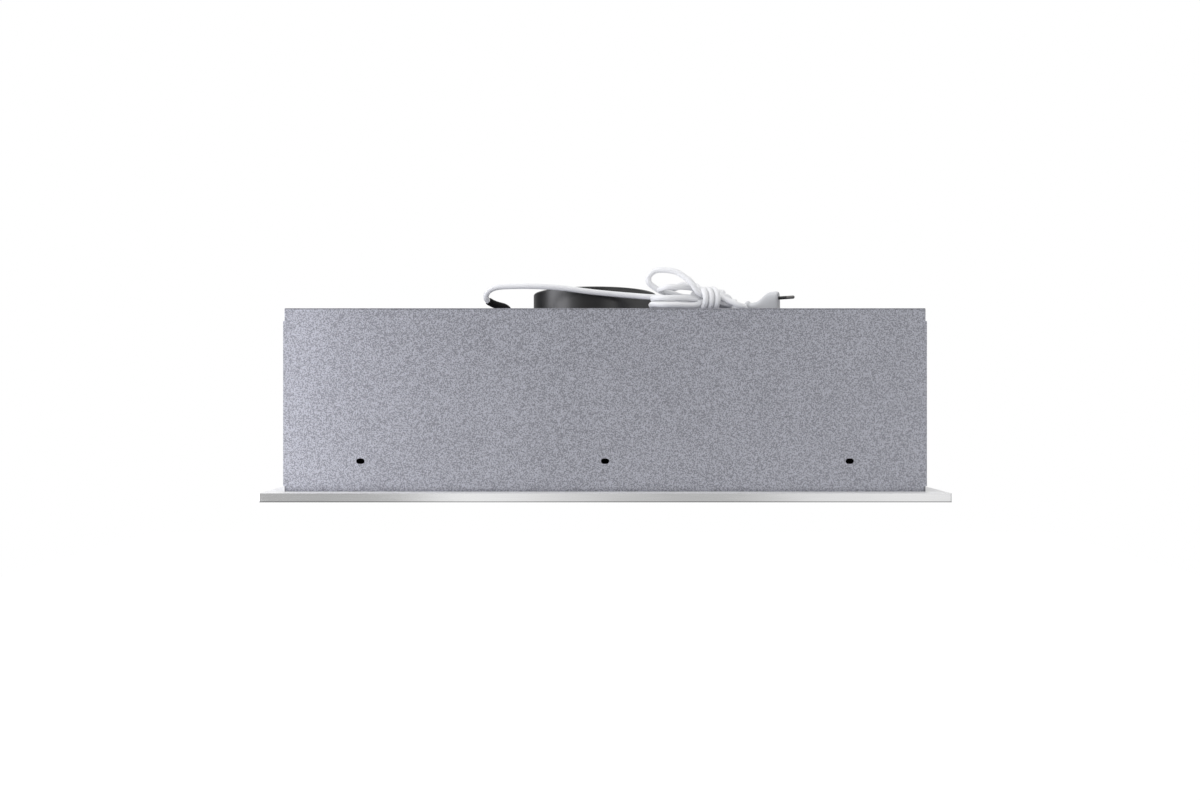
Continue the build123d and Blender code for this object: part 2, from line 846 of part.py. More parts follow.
def make_scroll():
    """The spiral casing in two halves. Returns the screws that join them at their lugs."""
    side_plane = Plane(origin=(collar_x, 0, 0), x_dir=(0, 1, 0), z_dir=(1, 0, 0))
    y0, y1 = throat_range()
    for name, side in (("scroll_left", -1), ("scroll_right", 1)):
        amount = side * scroll_w / 2
        outer = extrude(side_plane * scroll_outline(scroll_band), amount)
        inner = extrude(side_plane * scroll_outline(0), amount - side * scroll_t)
        half = outer - inner
        face = collar_x + amount
        half -= cross_rod(face - 2 * scroll_t, face + 2 * scroll_t, axis_y, axis_z, inlet_r)
        half += cross_ring(face, face + side * inlet_lip, axis_y, axis_z, inlet_r + scroll_t, inlet_r)
        flange = block(
            collar_x,
            collar_x + amount + side * outlet_flange,
            y0 - outlet_flange,
            y1 + outlet_flange,
            roof_under - outlet_flange_t,
            roof_under,
        )
        throat = block(collar_x, collar_x + amount - side * scroll_t, y0, y1, roof_under - 2, roof_under + 1)
        half += flange - throat
        for y, z in lug_places():
            lug = cross_rod(collar_x, collar_x + side * lug_t, y, z, lug_r)
            half += lug - inner
            half -= cross_rod(collar_x - 2 * lug_t, collar_x + 2 * lug_t, y, z, screw_r)
        for x, y in collar_screw_places():
            half -= upright(x, y, roof_under - 2 * outlet_flange_t, roof_under + 1, screw_r + screw_clear)
        for x, y, z in bush_places():
            half -= cross_rod(x - 2 * scroll_t, x + 2 * scroll_t, y, z, motor_screw_r)
        keep(name, half)

    screws = []
    for y, z in lug_places():
        head = cross_rod(collar_x - lug_t - screw_head_h, collar_x - lug_t, y, z, screw_head_r)
        shank = cross_rod(collar_x - lug_t, collar_x + lug_t + screw_tail / 2, y, z, screw_r)
        screws.append(head + shank)
    return screws


def bush_places():
    """Rubber bushes on the left wall of the blower, as (x of the wall, y, z)."""
    places = []
    for angle in arm_angles:
        turn = radians(angle)
        places.append((scroll_x0, axis_y + bush_ring_r * cos(turn), axis_z + bush_ring_r * sin(turn)))
    return places


def make_motor():
    """The motor in the left inlet. Returns the screws that hold its bracket."""
    bracket_x1 = scroll_x0 - bush_t
    bracket_x0 = bracket_x1 - bracket_t
    bracket = cross_ring(bracket_x0, bracket_x1, axis_y, axis_z, bracket_ring_out, bracket_ring_in)
    for angle in arm_angles:
        arm = block(bracket_ring_out - 2, bracket_arm_r, -bracket_arm_w / 2, bracket_arm_w / 2, 0, bracket_t)
        arm += upright(bracket_arm_r, 0, 0, bracket_t, bracket_arm_w / 2)
        along = (0, cos(radians(angle)), sin(radians(angle)))
        plane = Plane(origin=(bracket_x0, axis_y, axis_z), x_dir=along, z_dir=(1, 0, 0))
        bracket += plane.location * arm
    for x, y, z in bush_places():
        bracket -= cross_rod(bracket_x0 - 1, bracket_x1 + 1, y, z, motor_screw_r)
    keep("motor_bracket", bracket)

    bushes = []
    screws = []
    for x, y, z in bush_places():
        bushes.append(cross_ring(bracket_x1, scroll_x0, y, z, bush_r, motor_screw_r))
        head = cross_rod(bracket_x0 - motor_screw_head_h, bracket_x0, y, z, motor_screw_head_r)
        shank = cross_rod(bracket_x0, scroll_x0 + scroll_t + motor_screw_tail, y, z, motor_screw_r)
        screws.append(head + shank)
    keep("motor_bushes", *bushes)

    cap_x1 = bracket_x1 + motor_cap_t
    case_x1 = bracket_x1 + motor_len
    shaft_hole = shaft_r + bearing_step
    left_bearing = (cap_x1, cap_x1 + bearing_w)
    right_bearing = (case_x1 - motor_wall - bearing_w, case_x1 - motor_wall)
    cap = cross_rod(bracket_x1, cap_x1, axis_y, axis_z, motor_r)
    cap += cross_rod(cap_x1, cap_x1 + bearing_w, axis_y, axis_z, bearing_r + boss_wall)
    cap -= cross_rod(cap_x1, cap_x1 + bearing_w + 1, axis_y, axis_z, bearing_r)
    cap -= cross_rod(bracket_x1 - 1, cap_x1 + 1, axis_y, axis_z, shaft_hole)
    keep("motor_cap", cap)
    case = cross_rod(cap_x1, case_x1, axis_y, axis_z, motor_r)
    case -= cross_rod(cap_x1 - 1, case_x1 - motor_wall, axis_y, axis_z, motor_r - motor_wall)
    case += cross_ring(*right_bearing, axis_y, axis_z, bearing_r + boss_wall, bearing_r)
    case -= cross_rod(case_x1 - motor_wall - 1, case_x1 + 1, axis_y, axis_z, shaft_hole)
    keep("motor_case", case)
    bearings = []
    for x0, x1 in (left_bearing, right_bearing):
        bearings.append(cross_ring(x0, x1, axis_y, axis_z, bearing_r, shaft_r + shaft_clear))
    keep("motor_bearings", *bearings)

    core_x0 = (cap_x1 + case_x1) / 2 - core_len / 2
    core_x1 = core_x0 + core_len
    core = cross_ring(core_x0, core_x1, axis_y, axis_z, motor_r - motor_wall, core_in_r)
    keep("stator_core", core)
    coils = []
    coils.append(cross_ring(core_x0 - winding_len, core_x0, axis_y, axis_z, winding_out_r, winding_in_r))
    coils.append(cross_ring(core_x1, core_x1 + winding_len, axis_y, axis_z, winding_out_r, winding_in_r))
    keep("stator_windings", *coils)
    keep("rotor_core", cross_ring(core_x0, core_x1, axis_y, axis_z, rotor_r, shaft_r))
    keep("motor_shaft", cross_rod(bracket_x1, collar_x + shaft_right, axis_y, axis_z, shaft_r))
    return screws


def make_wheel():
    """The double-inlet fan wheel: a disc on its hub, two end rings and the leaning blades between."""
    x0 = collar_x - wheel_w / 2
    x1 = collar_x + wheel_w / 2
    ring_x0 = x0 + wheel_ring_t
    ring_x1 = x1 - wheel_ring_t
    disc_x0 = collar_x - wheel_disc_t / 2
    disc_x1 = disc_x0 + wheel_disc_t
    disc = cross_ring(disc_x0, disc_x1, axis_y, axis_z, wheel_r, shaft_r)
    disc += cross_ring(collar_x - hub_w / 2, collar_x + hub_w / 2, axis_y, axis_z, hub_r, shaft_r)
    pieces = [disc]
    pieces.append(cross_ring(x0, ring_x0, axis_y, axis_z, wheel_r, wheel_in_r))
    pieces.append(cross_ring(ring_x1, x1, axis_y, axis_z, wheel_r, wheel_in_r))
    middle = (wheel_r + wheel_in_r) / 2
    chord = (wheel_r - wheel_in_r) * 0.96
    for near, far in ((ring_x0, disc_x0), (disc_x1, ring_x1)):
        plane = Plane(origin=(near, axis_y, axis_z), x_dir=(0, 1, 0), z_dir=(1, 0, 0))
        for i in range(blade_count):
            turn = Rot(0, 0, 360 * i / blade_count)
            outline = turn * Pos(middle, 0) * Rot(0, 0, blade_lean) * Rectangle(chord, blade_t)
            pieces.append(extrude(plane * outline, far - near))
    keep("fan_wheel", *pieces)


# Electrics

def tube_path(points, radius):
    """A round wire along straight runs joined by arcs."""
    line = FilletPolyline(*points, radius=radius)
    start = Plane(origin=line @ 0, z_dir=line % 0)
    return sweep(start * Circle(wire_r), path=line)


def make_electrics():
    """Terminal box under the roof, its lid and block, the capacitor and the inner wires."""
    x1 = gland_x + box_w / 2
    x0 = x1 - box_w
    y1 = gland_y + box_d / 2
    y0 = y1 - box_d
    z1 = roof_under
    z0 = z1 - box_h
    box = block(x0, x1, y0, y1, z0, z1)
    box -= block(x0 + box_wall, x1 - box_wall, y0 + box_wall, y1 - box_wall, z0 - 1, z1 - box_wall)
    box -= upright(gland_x, gland_y, z1 - box_wall - 1, z1 + 1, gland_r)
    keep("terminal_box", box)
    lid_z = z0 - box_lid_t
    keep("terminal_box_lid", block(x0, x1, y0, y1, lid_z, z0))
    long, deep, tall = block_size
    mid_x = (x0 + x1) / 2
    mid_y = (y0 + y1) / 2
    terminal = Pos(mid_x, mid_y, z0 + tall / 2) * Box(long, deep, tall)
    for i in (-1, 0, 1):
        terminal -= upright(mid_x + i * long / 3, mid_y, z0 + tall / 2, z0 + tall + 1, screw_r)
    keep("terminal_block", terminal)

    cap_l, cap_d, cap_h = capacitor
    can = Pos(capacitor_x, capacitor_y, z1 - cap_h / 2) * Box(cap_l, cap_d, cap_h)
    keep("run_capacitor", fillet(can.edges().filter_by(Axis.Z), capacitor_edge))

    side = bezel_w / 2 - window_r / 2
    wire_z = bezel_z1 + control_h / 2
    lamp_top = trim_sheet + lamp_flange_t + lamp_cup_h
    motor_x = scroll_x0 - bush_t
    motor_y = axis_y - bracket_ring_in / 2
    motor_z = axis_z + bracket_ring_in / 3
    gap_x = (x1 + motor_x - bracket_t) / 2
    box_z = z0 + wire_inset
    front_y = y0 + wire_inset
    wires = []
    to_motor = [(x1, motor_y, box_z), (gap_x, motor_y, box_z)]
    to_motor += [(gap_x, motor_y, motor_z), (motor_x, motor_y, motor_z)]
    wires.append(tube_path(to_motor, wire_bend_tight))
    down_z = lamp_top + wire_rise
    to_buttons = [(mid_x, front_y, lid_z), (mid_x, front_y, down_z)]
    to_buttons += [(mid_x, strip_y, wire_z), (-side, strip_y, wire_z)]
    wires.append(tube_path(to_buttons, wire_bend))
    back_x = x0 + wire_inset
    to_left = [(back_x, mid_y, lid_z), (back_x, mid_y, axis_z)]
    to_left += [(-lamp_x, strip_y, down_z), (-lamp_x, strip_y, lamp_top)]
    wires.append(tube_path(to_left, wire_bend))
    away_x = side + wire_rise
    to_right = [(side, strip_y, wire_z), (away_x, strip_y, wire_z)]
    to_right += [(lamp_x, strip_y, down_z), (lamp_x, strip_y, lamp_top)]
    wires.append(tube_path(to_right, wire_bend))
    keep("inner_wires", *wires)


# Mains cord

def make_cord_entry():
    """The gland in the roof and the bent sleeve that the cord comes out of."""
    z1 = body_z1
    gland = upright(gland_x, gland_y, z1, z1 + gland_h, gland_r)
    gland = chamfer(gland.edges().filter_by(GeomType.CIRCLE).group_by(Axis.Z)[-1], 1)
    gland += upright(gland_x, gland_y, roof_under - gland_nut_h, z1, gland_neck_r)
    gland += upright(gland_x, gland_y, roof_under - gland_nut_h, roof_under, gland_r)
    keep("cord_gland", gland)

    start = Vector(gland_x, gland_y, z1 + gland_h)
    rise = Line(start, start + Vector(0, 0, sleeve_rise))
    turn_start = rise @ 1
    level = Vector(sleeve_dir.X, sleeve_dir.Y, 0).normalized()
    centre = turn_start + level * sleeve_bend_r
    half = Vector(0, 0, 1).get_angle(sleeve_dir) / 2
    full = 2 * half

    def on_turn(angle):
        turn = radians(angle)
        return centre - level * (sleeve_bend_r * cos(turn)) + Vector(0, 0, sleeve_bend_r * sin(turn))

    bend_line = ThreePointArc(turn_start, on_turn(half), on_turn(full))
    run = Line(bend_line @ 1, (bend_line @ 1) + sleeve_dir * sleeve_run)
    path = Wire([rise, bend_line, run])
    sleeve = sweep(Plane(origin=start, z_dir=(0, 0, 1)) * Circle(sleeve_r), path=path)
    keep("cord_sleeve", sleeve)
    return run @ 1


def make_plug():
    """A flat two-pin plug standing on its narrow edge."""
    place = Location(plug_face, (0, 0, plug_turn))
    w = plug_half_w
    n = plug_neck_r
    side = Plane(origin=(0, 0, 0), x_dir=(1, 0, 0), z_dir=(0, -1, 0))
    flat_end = (-plug_flat, w)
    waist = (-plug_waist, n + plug_flare)
    neck = (-plug_body_l, n)
    edge = plug_edge
    middle = (-(plug_flat + plug_waist) / 2 - plug_hollow, (w + n) / 2 - plug_hollow / 2)
    upper = [
        Line((0, w - edge), (-edge, w)),
        Line((-edge, w), flat_end),
        ThreePointArc(flat_end, middle, waist),
        Line(waist, neck),
    ]
    lower = []
    for line in upper:
        lower.append(line.mirror(Plane.XZ))
    ends = [Line((0, w - edge), (0, -w + edge)), Line(neck, (neck[0], -neck[1]))]
    outline = make_face(Wire(upper + lower + ends))
    body = extrude(side * outline, plug_t / 2, both=True)
    half_t = plug_t / 2
    taper = [(1, half_t), (-plug_flat, half_t), (-plug_body_l, n)]
    taper += [(-plug_body_l, -n), (-plug_flat, -half_t), (1, -half_t)]
    body &= Pos(0, 0, -reach / 2) * extrude(make_face(Polyline(*taper, close=True)), reach)
    neck_start = -plug_body_l
    neck_end = neck_start - plug_neck_l
    body += cross_rod(neck_start + 2, neck_end, 0, 0, plug_neck_r)
    bead = cross_rod(neck_end, neck_end + neck_bead_w, 0, 0, neck_bead_r)
    body += fillet(bead.edges().filter_by(GeomType.CIRCLE), neck_bead_round)
    for way in (-1, 1):
        body -= cross_rod(-pin_root, 1, 0, way * pin_pitch / 2, pin_core_r)
    keep("plug_body", place * body)
    pins = []
    sleeves = []
    for way in (-1, 1):
        z = way * pin_pitch / 2
        tip = cross_rod(pin_len - pin_bare, pin_len, 0, z, pin_r)
        tip = fillet(tip.edges().filter_by(GeomType.CIRCLE).sort_by(Axis.X)[-1], pin_r * 0.8)
        pins.append(place * (tip + cross_rod(-pin_root, pin_len - pin_bare, 0, z, pin_core_r)))
        sleeves.append(place * cross_ring(0, pin_len - pin_bare, 0, z, pin_r, pin_core_r))
    keep("plug_pins", *pins)
    keep("plug_pin_sleeves", *sleeves)
    return (place * Location((neck_end, 0, 0))).position


# Cord on its way from the sleeve to the plug

def hank_stops():
    """Where the hank's cord passes and which way it heads there, from its lead to its tail."""
    stops = []

    def stop(x, across, z, heading):
        stops.append((Vector(x, hank_y + across, z), Vector(*heading).normalized()))

    def strand(x, column, row, way):
        stop(x, (column - 2.5) * strand_step, strand_low + row * strand_row, (way, 0, 0))

    def left_lobe(tip, radius, levels):
        front_z, tip_z, back_z = levels
        stop(tip + radius, -radius, front_z, (-1, 0, 0))
        stop(tip, 0, tip_z, (0, 1, 0))
        stop(tip + radius, radius, back_z, (1, 0, 0))

    def right_lobe(side, tip, across, half, levels):
        way = 1 if half > 0 else -1
        stop(side, across + half, levels[0], (1, 0, 0))
        stop(tip, across, levels[1], (0, -way, 0))
        stop(side, across - half, levels[2], (-1, 0, 0))

    lead_heading = Vector(0.95, -0.30, -0.11).normalized()
    first = Vector(44.0, 25.4, 218.4)
    second = first + lead_heading * 2 * cord_r
    stop(*first, lead_heading)
    stop(*second, lead_heading)
    strand(waist_x0 - 4, 4, 1, 1)
    strand(waist_x1, 4, 1, 1)
    right_lobe(130.0, 140.0, 0.4, 12.6, (214.4, 208.4, 204.2))
    strand(waist_x1, 1, 0, -1)

    strand(waist_x0, 1, 0, -1)
    stop(waist_x0 - 15, -13.0, low_lobe_z[0], (-1, -0.4, 0))
    left_lobe(low_lobe_x, low_lobe_r, low_lobe_z)
    stop(waist_x0 - 15, 13.0, low_lobe_z[2], (1, -0.4, 0))
    strand(waist_x0, 4, 0, 1)
    strand(waist_x1, 4, 0, 1)
    right_lobe(127.6, 132.6, 4.0, 7.2, (205.6, 202.0, 205.4))
    strand(waist_x1, 2, 0, -1)

    strand(waist_x0, 2, 0, -1)
    stop(waist_x0 - 8, -4.0, 208.6, (-1, -0.15, 0.1))
    left_lobe(mid_lobe_x, mid_lobe_r, mid_lobe_z)
    strand(waist_x0 - 8, 3, 0, 1)
    strand(waist_x0, 3, 0, 1)
    strand(waist_x1, 3, 0, 1)
    right_lobe(128.4, 133.2, -0.1, 4.3, (209.1, 212.6, 214.6))
    strand(waist_x1, 2, 1, -1)

    strand(waist_x0, 2, 1, -1)
    stop(waist_x0 - 12, -5.2, top_lobe_z - 0.2, (-1, -0.5, 0))
    stop(top_lobe_x + top_lobe_r, -top_lobe_r, top_lobe_z - 0.2, (-1, -0.25, 0))
    stop(top_lobe_x, 0, top_lobe_z, (0, 1, 0))
    stop(top_lobe_x + top_lobe_r, top_lobe_r, top_lobe_z + 0.2, (1, 0, 0))
    stop(88.0, 9.5, top_lobe_z - 0.3, (1, -0.35, 0))

    middle_z = strand_low + strand_row / 2
    turn = pi * wrap_r / 2
    around = 4 * wrap_flat + 4 * turn
    lean = strand_step / around
    for i in range(wrap_count):
        corners = [
            (wrap_flat, -wrap_flat, middle_z + wrap_r, (lean, -1, 0)),
            (wrap_flat + turn, -wrap_flat - wrap_r, middle_z, (lean, 0, -1)),
            (wrap_flat + 2 * turn, -wrap_flat, middle_z - wrap_r, (lean, 1, 0)),
            (3 * wrap_flat + 2 * turn, wrap_flat, middle_z - wrap_r, (lean, 1, 0)),
            (3 * wrap_flat + 3 * turn, wrap_flat + wrap_r, middle_z, (lean, 0, 1)),
            (3 * wrap_flat + 4 * turn, wrap_flat, middle_z + wrap_r, (lean, -1, 0)),
        ]
        if i == wrap_count - 1:
            corners.pop()
        for run, across, z, heading in corners:
            stop(wrap_x + (i * around + run) * lean, across, z, heading)

    stop(122.6, 14.5, 221.4, (0.8, -0.8, 0.1))
    stop(128.4, 8.0, 220.6, (0, -1, -0.3))
    strand(waist_x1, 3, 1, -1)
    strand(waist_x0, 3, 1, -1)
    stop(62.5, 0.0, 215.1, (-1, 0, 0))
    stop(44.6, -3.0, 229.0, (0, -0.15, 1))
    stop(61.0, -8.5, 242.8, (1, -0.25, 0))
    stop(79.5, -16.5, 235.5, (0.8, -0.3, -0.62))
    stop(86.6, -21.2, 224.5, (0.35, -0.05, -1))
    stop(91.5, -14.5, 215.5, (0.75, 0.62, -0.2))
    strand(waist_x0, 1, 1, 1)
    strand(waist_x1 - 1.5, 1, 1, 1)
    tail_heading = Vector(0.80, -0.46, -0.38).normalized()
    last = Vector(129.4, -17.8, 212.0)
    before = last - tail_heading * 2 * cord_r
    stop(*before, tail_heading)
    stop(*last, tail_heading)
    return stops


def arc_between(start, corner, end):
    """The arc whose end tangents meet at the corner, or a straight where they are in line."""
    turn = radians((end - start).get_angle(corner - start))
    if turn < 0.001:
        return Line(start, end)
    middle = (start + end) * 0.5
    return ThreePointArc(start, middle + (corner - middle) * (tan(turn / 2) / tan(turn)), end)


def biarcs(stops):
    """Two arcs from each stop to the next, all meeting in line."""
    edges = []
    for (start, heading), (end, end_heading) in zip(stops, stops[1:]):
        gap = end - start
        a = 2 * (1 - heading.dot(end_heading))
        b = 2 * gap.dot(heading + end_heading)
        if a < 0.000001:
            handle = gap.dot(gap) / b
        else:
            handle = (sqrt(b ** 2 + 4 * a * gap.dot(gap)) - b) / (2 * a)
        corner = start + heading * handle
        end_corner = end - end_heading * handle
        join = (corner + end_corner) * 0.5
        edges.append(arc_between(start, corner, join))
        edges.append(arc_between(join, end_corner, end))
    return edges


def least_gap(edges):
    """The least gap of the hank's cord to itself, from points along its line."""
    points = []
    along = []
    total = 0
    for edge in edges:
        count = int(edge.length / 0.8) + 2
        for i in range(count):
            points.append(tuple(edge @ (i / count)))
            along.append(total + edge.length * i / count)
        total += edge.length
    least = reach
    for i in range(len(points)):
        for j in range(i + 1, len(points)):
            if along[j] - along[i] > 5 * cord_r:
                least = min(least, dist(points[i], points[j]))
    return least - 2 * cord_r


def cord_tube(name, line):
    """Sweep the cord along a line and compare its volume with its section and length."""
    start = Plane(origin=line @ 0, z_dir=line % 0)
    tube = sweep(start * Circle(cord_r), path=line)
    keep(name, tube)
    ratio = tube.volume / (pi * cord_r ** 2 * line.length)
    print(name, "length", round(line.length, 1), "volume over section times length", round(ratio, 4))


def free_line(name, points):
    """Straight runs joined by the largest arcs that their runs allow."""
    radii = []
    for before, at, after in zip(points, points[1:], points[2:]):
        half_turn = radians((at - before).get_angle(after - at)) / 2
        shorter = min((at - before).length, (after - at).length)
        radii.append(corner_share * shorter / tan(half_turn))
    print(name, "arc radii", [round(radius, 1) for radius in radii])
    return FilletPolyline(*points, radius=radii)


def make_cord(sleeve_end, plug_entry):
    """The lead from the sleeve, the hank, and the tail to the plug."""
    stops = hank_stops()
    hank = biarcs(stops)
    cord_tube("mains_cord_hank", Wire(hank))
    print("mains_cord_hank least gap", round(least_gap(hank), 2))

    away = (Vector(1, 0, 0) * -sleeve_dir.dot(Vector(1, 0, 0)) + sleeve_dir).normalized()
    fold = radians(Vector(1, 0, 0).get_angle(sleeve_dir))
    points = [sleeve_end, sleeve_end + sleeve_dir * (lead_fold_run - 2)]
    for i in range(1, lead_fold_turns):
        turn = fold * (1 - i / lead_fold_turns)
        points.append(points[-1] + (Vector(cos(turn), 0, 0) + away * sin(turn)) * lead_fold_run)
    for point in lead_points:
        points.append(Vector(*point))
    hank_start, heading = stops[0]
    points.append(hank_start - heading * lead_last_run)
    points.append(hank_start)
    cord_tube("mains_cord_lead", free_line("mains_cord_lead", points))

    hank_end, heading = stops[-1]
    points = [hank_end, hank_end + heading * tail_first_run]
    for point in tail_points:
        points.append(Vector(*point))
    points.append(plug_entry - Vector(1, 0, 0).rotate(Axis.Z, plug_turn) * plug_run)
    points.append(plug_entry)
    cord_tube("mains_cord_tail", free_line("mains_cord_tail", points))


os.makedirs("parts", exist_ok=True)
make_body_shell()
make_side_panels()
make_body_rivets()
make_trim_frame()
make_casing_screws()
make_filter("filter_left", -1)
make_filter("filter_right", 1)
keep("lamp_boards", make_lamp("lamp_left", -1), make_lamp("lamp_right", 1))
make_controls()
make_collar()
make_flaps()
scroll_screws = make_scroll()
motor_screws = make_motor()
keep("blower_screws", *scroll_screws, *motor_screws)
make_wheel()
make_electrics()
make_cord(make_cord_entry(), make_plug())
print("nodes", len(nodes))
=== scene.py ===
# %% [markdown]
# # A built-in range hood, dressed for its photograph
#
# The solids of the hood come packed from its CAD source. This lesson loads them, lights them
# like a catalogue picture, gives every solid a finish, and makes the pieces that solids are
# poor at: a soft cord, its plug, its sleeve, the filters' nets and the screw heads. Each step
# first says what the real thing is and why it is made the way it is.

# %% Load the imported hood
from math import cos, pi, radians, sin, sqrt

import bmesh
import bpy
from mathutils import Matrix, Vector


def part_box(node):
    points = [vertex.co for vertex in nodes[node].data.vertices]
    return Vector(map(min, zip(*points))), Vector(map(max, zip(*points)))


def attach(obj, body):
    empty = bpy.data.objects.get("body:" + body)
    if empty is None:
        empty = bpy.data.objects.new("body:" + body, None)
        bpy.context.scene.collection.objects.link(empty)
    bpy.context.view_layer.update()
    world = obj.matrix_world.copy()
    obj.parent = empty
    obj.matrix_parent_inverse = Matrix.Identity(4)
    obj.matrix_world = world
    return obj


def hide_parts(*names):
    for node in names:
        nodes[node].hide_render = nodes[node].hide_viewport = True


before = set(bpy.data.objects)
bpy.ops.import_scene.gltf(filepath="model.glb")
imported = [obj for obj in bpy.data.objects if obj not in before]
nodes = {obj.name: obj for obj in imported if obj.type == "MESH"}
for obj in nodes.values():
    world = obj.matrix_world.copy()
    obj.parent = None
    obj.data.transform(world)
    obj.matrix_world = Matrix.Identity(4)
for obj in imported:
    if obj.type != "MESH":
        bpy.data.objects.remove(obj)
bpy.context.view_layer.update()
MM = 0.001


def in_mm(values):
    """Metres as rounded millimetres, to be read."""
    return [round(value / MM, 1) for value in values]


# %% [markdown]
# ## The camera
#
# The picture was taken level, a little under a metre away, from about half the height of the
# casing. That is why the roof is a line, and the flange shows a thin strip of its top. A camera
# could be turned by hand until it looks right, but here the edges of the casing were measured
# in the picture and the place was worked out from them, so that it agrees with the real size.

# %% Place the camera
PICTURE_WIDTH = 1200
FOCAL_PIXELS = 773
SENSOR = 36.0
CAMERA_AT = (-5.2 * MM, -930 * MM, 103.3 * MM)


def add_object(name, data):
    """A new object in the scene, from a mesh, a curve, a lamp or a camera."""
    thing = bpy.data.objects.new(name, data)
    bpy.context.scene.collection.objects.link(thing)
    return thing


camera = add_object("camera", bpy.data.cameras.new("camera"))
camera.data.sensor_width = SENSOR
camera.data.lens = SENSOR * FOCAL_PIXELS / PICTURE_WIDTH
camera.location = CAMERA_AT
camera.rotation_euler = (pi / 2, 0, 0)
bpy.context.scene.camera = camera
bpy.context.scene.view_settings.view_transform = "Standard"
print("lens", round(camera.data.lens, 2), "mm")

# %% [markdown]
# ## Writing shaders as sums
#
# A shader is a graph of nodes, and a graph built call by call is hard to read. So a finish is
# written here as arithmetic. A `Wire` is one output of a node, and adding or multiplying wires
# adds the Math nodes. Every other node comes from `Finish.node`, which takes the node's type,
# its settings, and then the values or wires of its sockets.

# %% A wire that arithmetic works on
class Wire:
    """One output socket in a shader graph."""

    def __init__(self, finish, socket):
        self.finish = finish
        self.socket = socket

    def math(self, operation, *others):
        """A Math node that takes this wire first."""
        return self.finish.math(operation, self, *others)

    def __add__(self, other):
        return self.math("ADD", other)

    def __sub__(self, other):
        return self.math("SUBTRACT", other)

    def __rsub__(self, other):
        return self.finish.math("SUBTRACT", other, self)

    def __mul__(self, other):
        return self.math("MULTIPLY", other)

    def __gt__(self, other):
        return self.math("GREATER_THAN", other)

    def __lt__(self, other):
        return self.math("LESS_THAN", other)

    def __abs__(self):
        return self.math("ABSOLUTE")

    __radd__ = __add__
    __rmul__ = __mul__


# %% A finish and its graph
class Finish:
    """A material, or the world, whose graph is written as Python expressions."""

    def __init__(self, name, world=False):
        self.block = bpy.data.worlds.new(name) if world else bpy.data.materials.new(name)
        self.ending = "ShaderNodeOutputWorld" if world else "ShaderNodeOutputMaterial"
        self.block.use_nodes = True
        self.tree = self.block.node_tree
        self.tree.nodes.clear()

    def node(self, kind, settings, *values, out=None, **named):
        """Add a node: first its settings, then its sockets' values or wires, in order or named."""
        node = self.tree.nodes.new(kind)
        for key, value in settings.items():
            if key == "stops":
                self.set_stops(node.color_ramp, value)
            else:
                setattr(node, key, value)
        sockets = [socket for socket in node.inputs if socket.enabled]
        pairs = list(zip(sockets, values))
        for name, value in named.items():
            wanted = name.replace("_", " ")
            match = next(socket for socket in sockets if socket.name.lower() == wanted)
            pairs.append((match, value))
        for socket, value in pairs:
            if isinstance(value, Wire):
                self.tree.links.new(value.socket, socket)
            else:
                socket.default_value = value
        outputs = [socket for socket in node.outputs if socket.enabled]
        return Wire(self, next(socket for socket in outputs if out in (None, socket.name)))

    def set_stops(self, ramp, stops):
        """A ramp's stops, each a place from 0 to 1 and a colour."""
        ramp.interpolation = "CARDINAL"
        while len(ramp.elements) < len(stops):
            ramp.elements.new(1)
        for element, (place, colour) in zip(ramp.elements, stops):
            element.position = place
            element.color = full(colour)

    def math(self, operation, *values):
        return self.node("ShaderNodeMath", {"operation": operation}, *values)

    def place(self):
        """Where a point is on the solid, in metres, wherever the solid has moved to."""
        return self.node("ShaderNodeTexCoord", {}, out="Object")

    def facing(self):
        """Which way the face points, as its X, Y and Z."""
        return self.split(self.node("ShaderNodeTexCoord", {}, out="Normal"))

    def ray(self, kind):
        """1 where light runs along one kind of ray, such as Camera, and 0 elsewhere."""
        return self.node("ShaderNodeLightPath", {}, out="Is " + kind + " Ray")

    def split(self, vector):
        """The X, Y and Z of a vector."""
        first = self.node("ShaderNodeSeparateXYZ", {}, vector)
        return [Wire(self, socket) for socket in first.socket.node.outputs]

    def noise(self, size, detail=2.0, stretch=(1, 1, 1)):
        """Soft noise about 0.5, whose bumps are about `size` metres, times `stretch` each way."""
        scale = tuple(1 / (size * share) for share in stretch)
        where = self.node("ShaderNodeVectorMath", {"operation": "MULTIPLY"}, self.place(), scale)
        return self.node("ShaderNodeTexNoise", {}, where, scale=1.0, detail=detail)

    def spread(self, value, low, high, new_low=0.0, new_high=1.0):
        """Stretch low..high to new_low..new_high, and hold what lies outside."""
        return self.node("ShaderNodeMapRange", {}, value, low, high, new_low, new_high)

    def mix(self, share, first, second):
        """A colour between two colours."""
        return self.node("ShaderNodeMix", {"data_type": "RGBA"}, share, full(first), full(second))

    def relief(self, height, depth, strength=1.0):
        """Bumps `depth` metres deep where the height goes from 0 to 1."""
        return self.node("ShaderNodeBump", {}, strength=strength, distance=depth, height=height)

    def end(self, surface):
        """Join a shader to the graph's output, which ends the material or the world."""
        output = self.tree.nodes.new(self.ending)
        self.tree.links.new(surface.socket, output.inputs["Surface"])
        return self.block

    def surface(self, **named):
        """The surface of a material, from its named sockets."""
        return self.end(self.node("ShaderNodeBsdfPrincipled", {}, **named))


def full(colour):
    """A colour for a socket: a wire as it is, and a grey or three numbers with full alpha."""
    if isinstance(colour, Wire):
        return colour
    if isinstance(colour, (int, float)):
        colour = (colour, colour, colour)
    return (*colour, 1)


def fade(share, first, second):
    """A value that goes from the first to the second as the share goes from 0 to 1."""
    return first * (1 - share) + second * share


print("shader helpers ready")

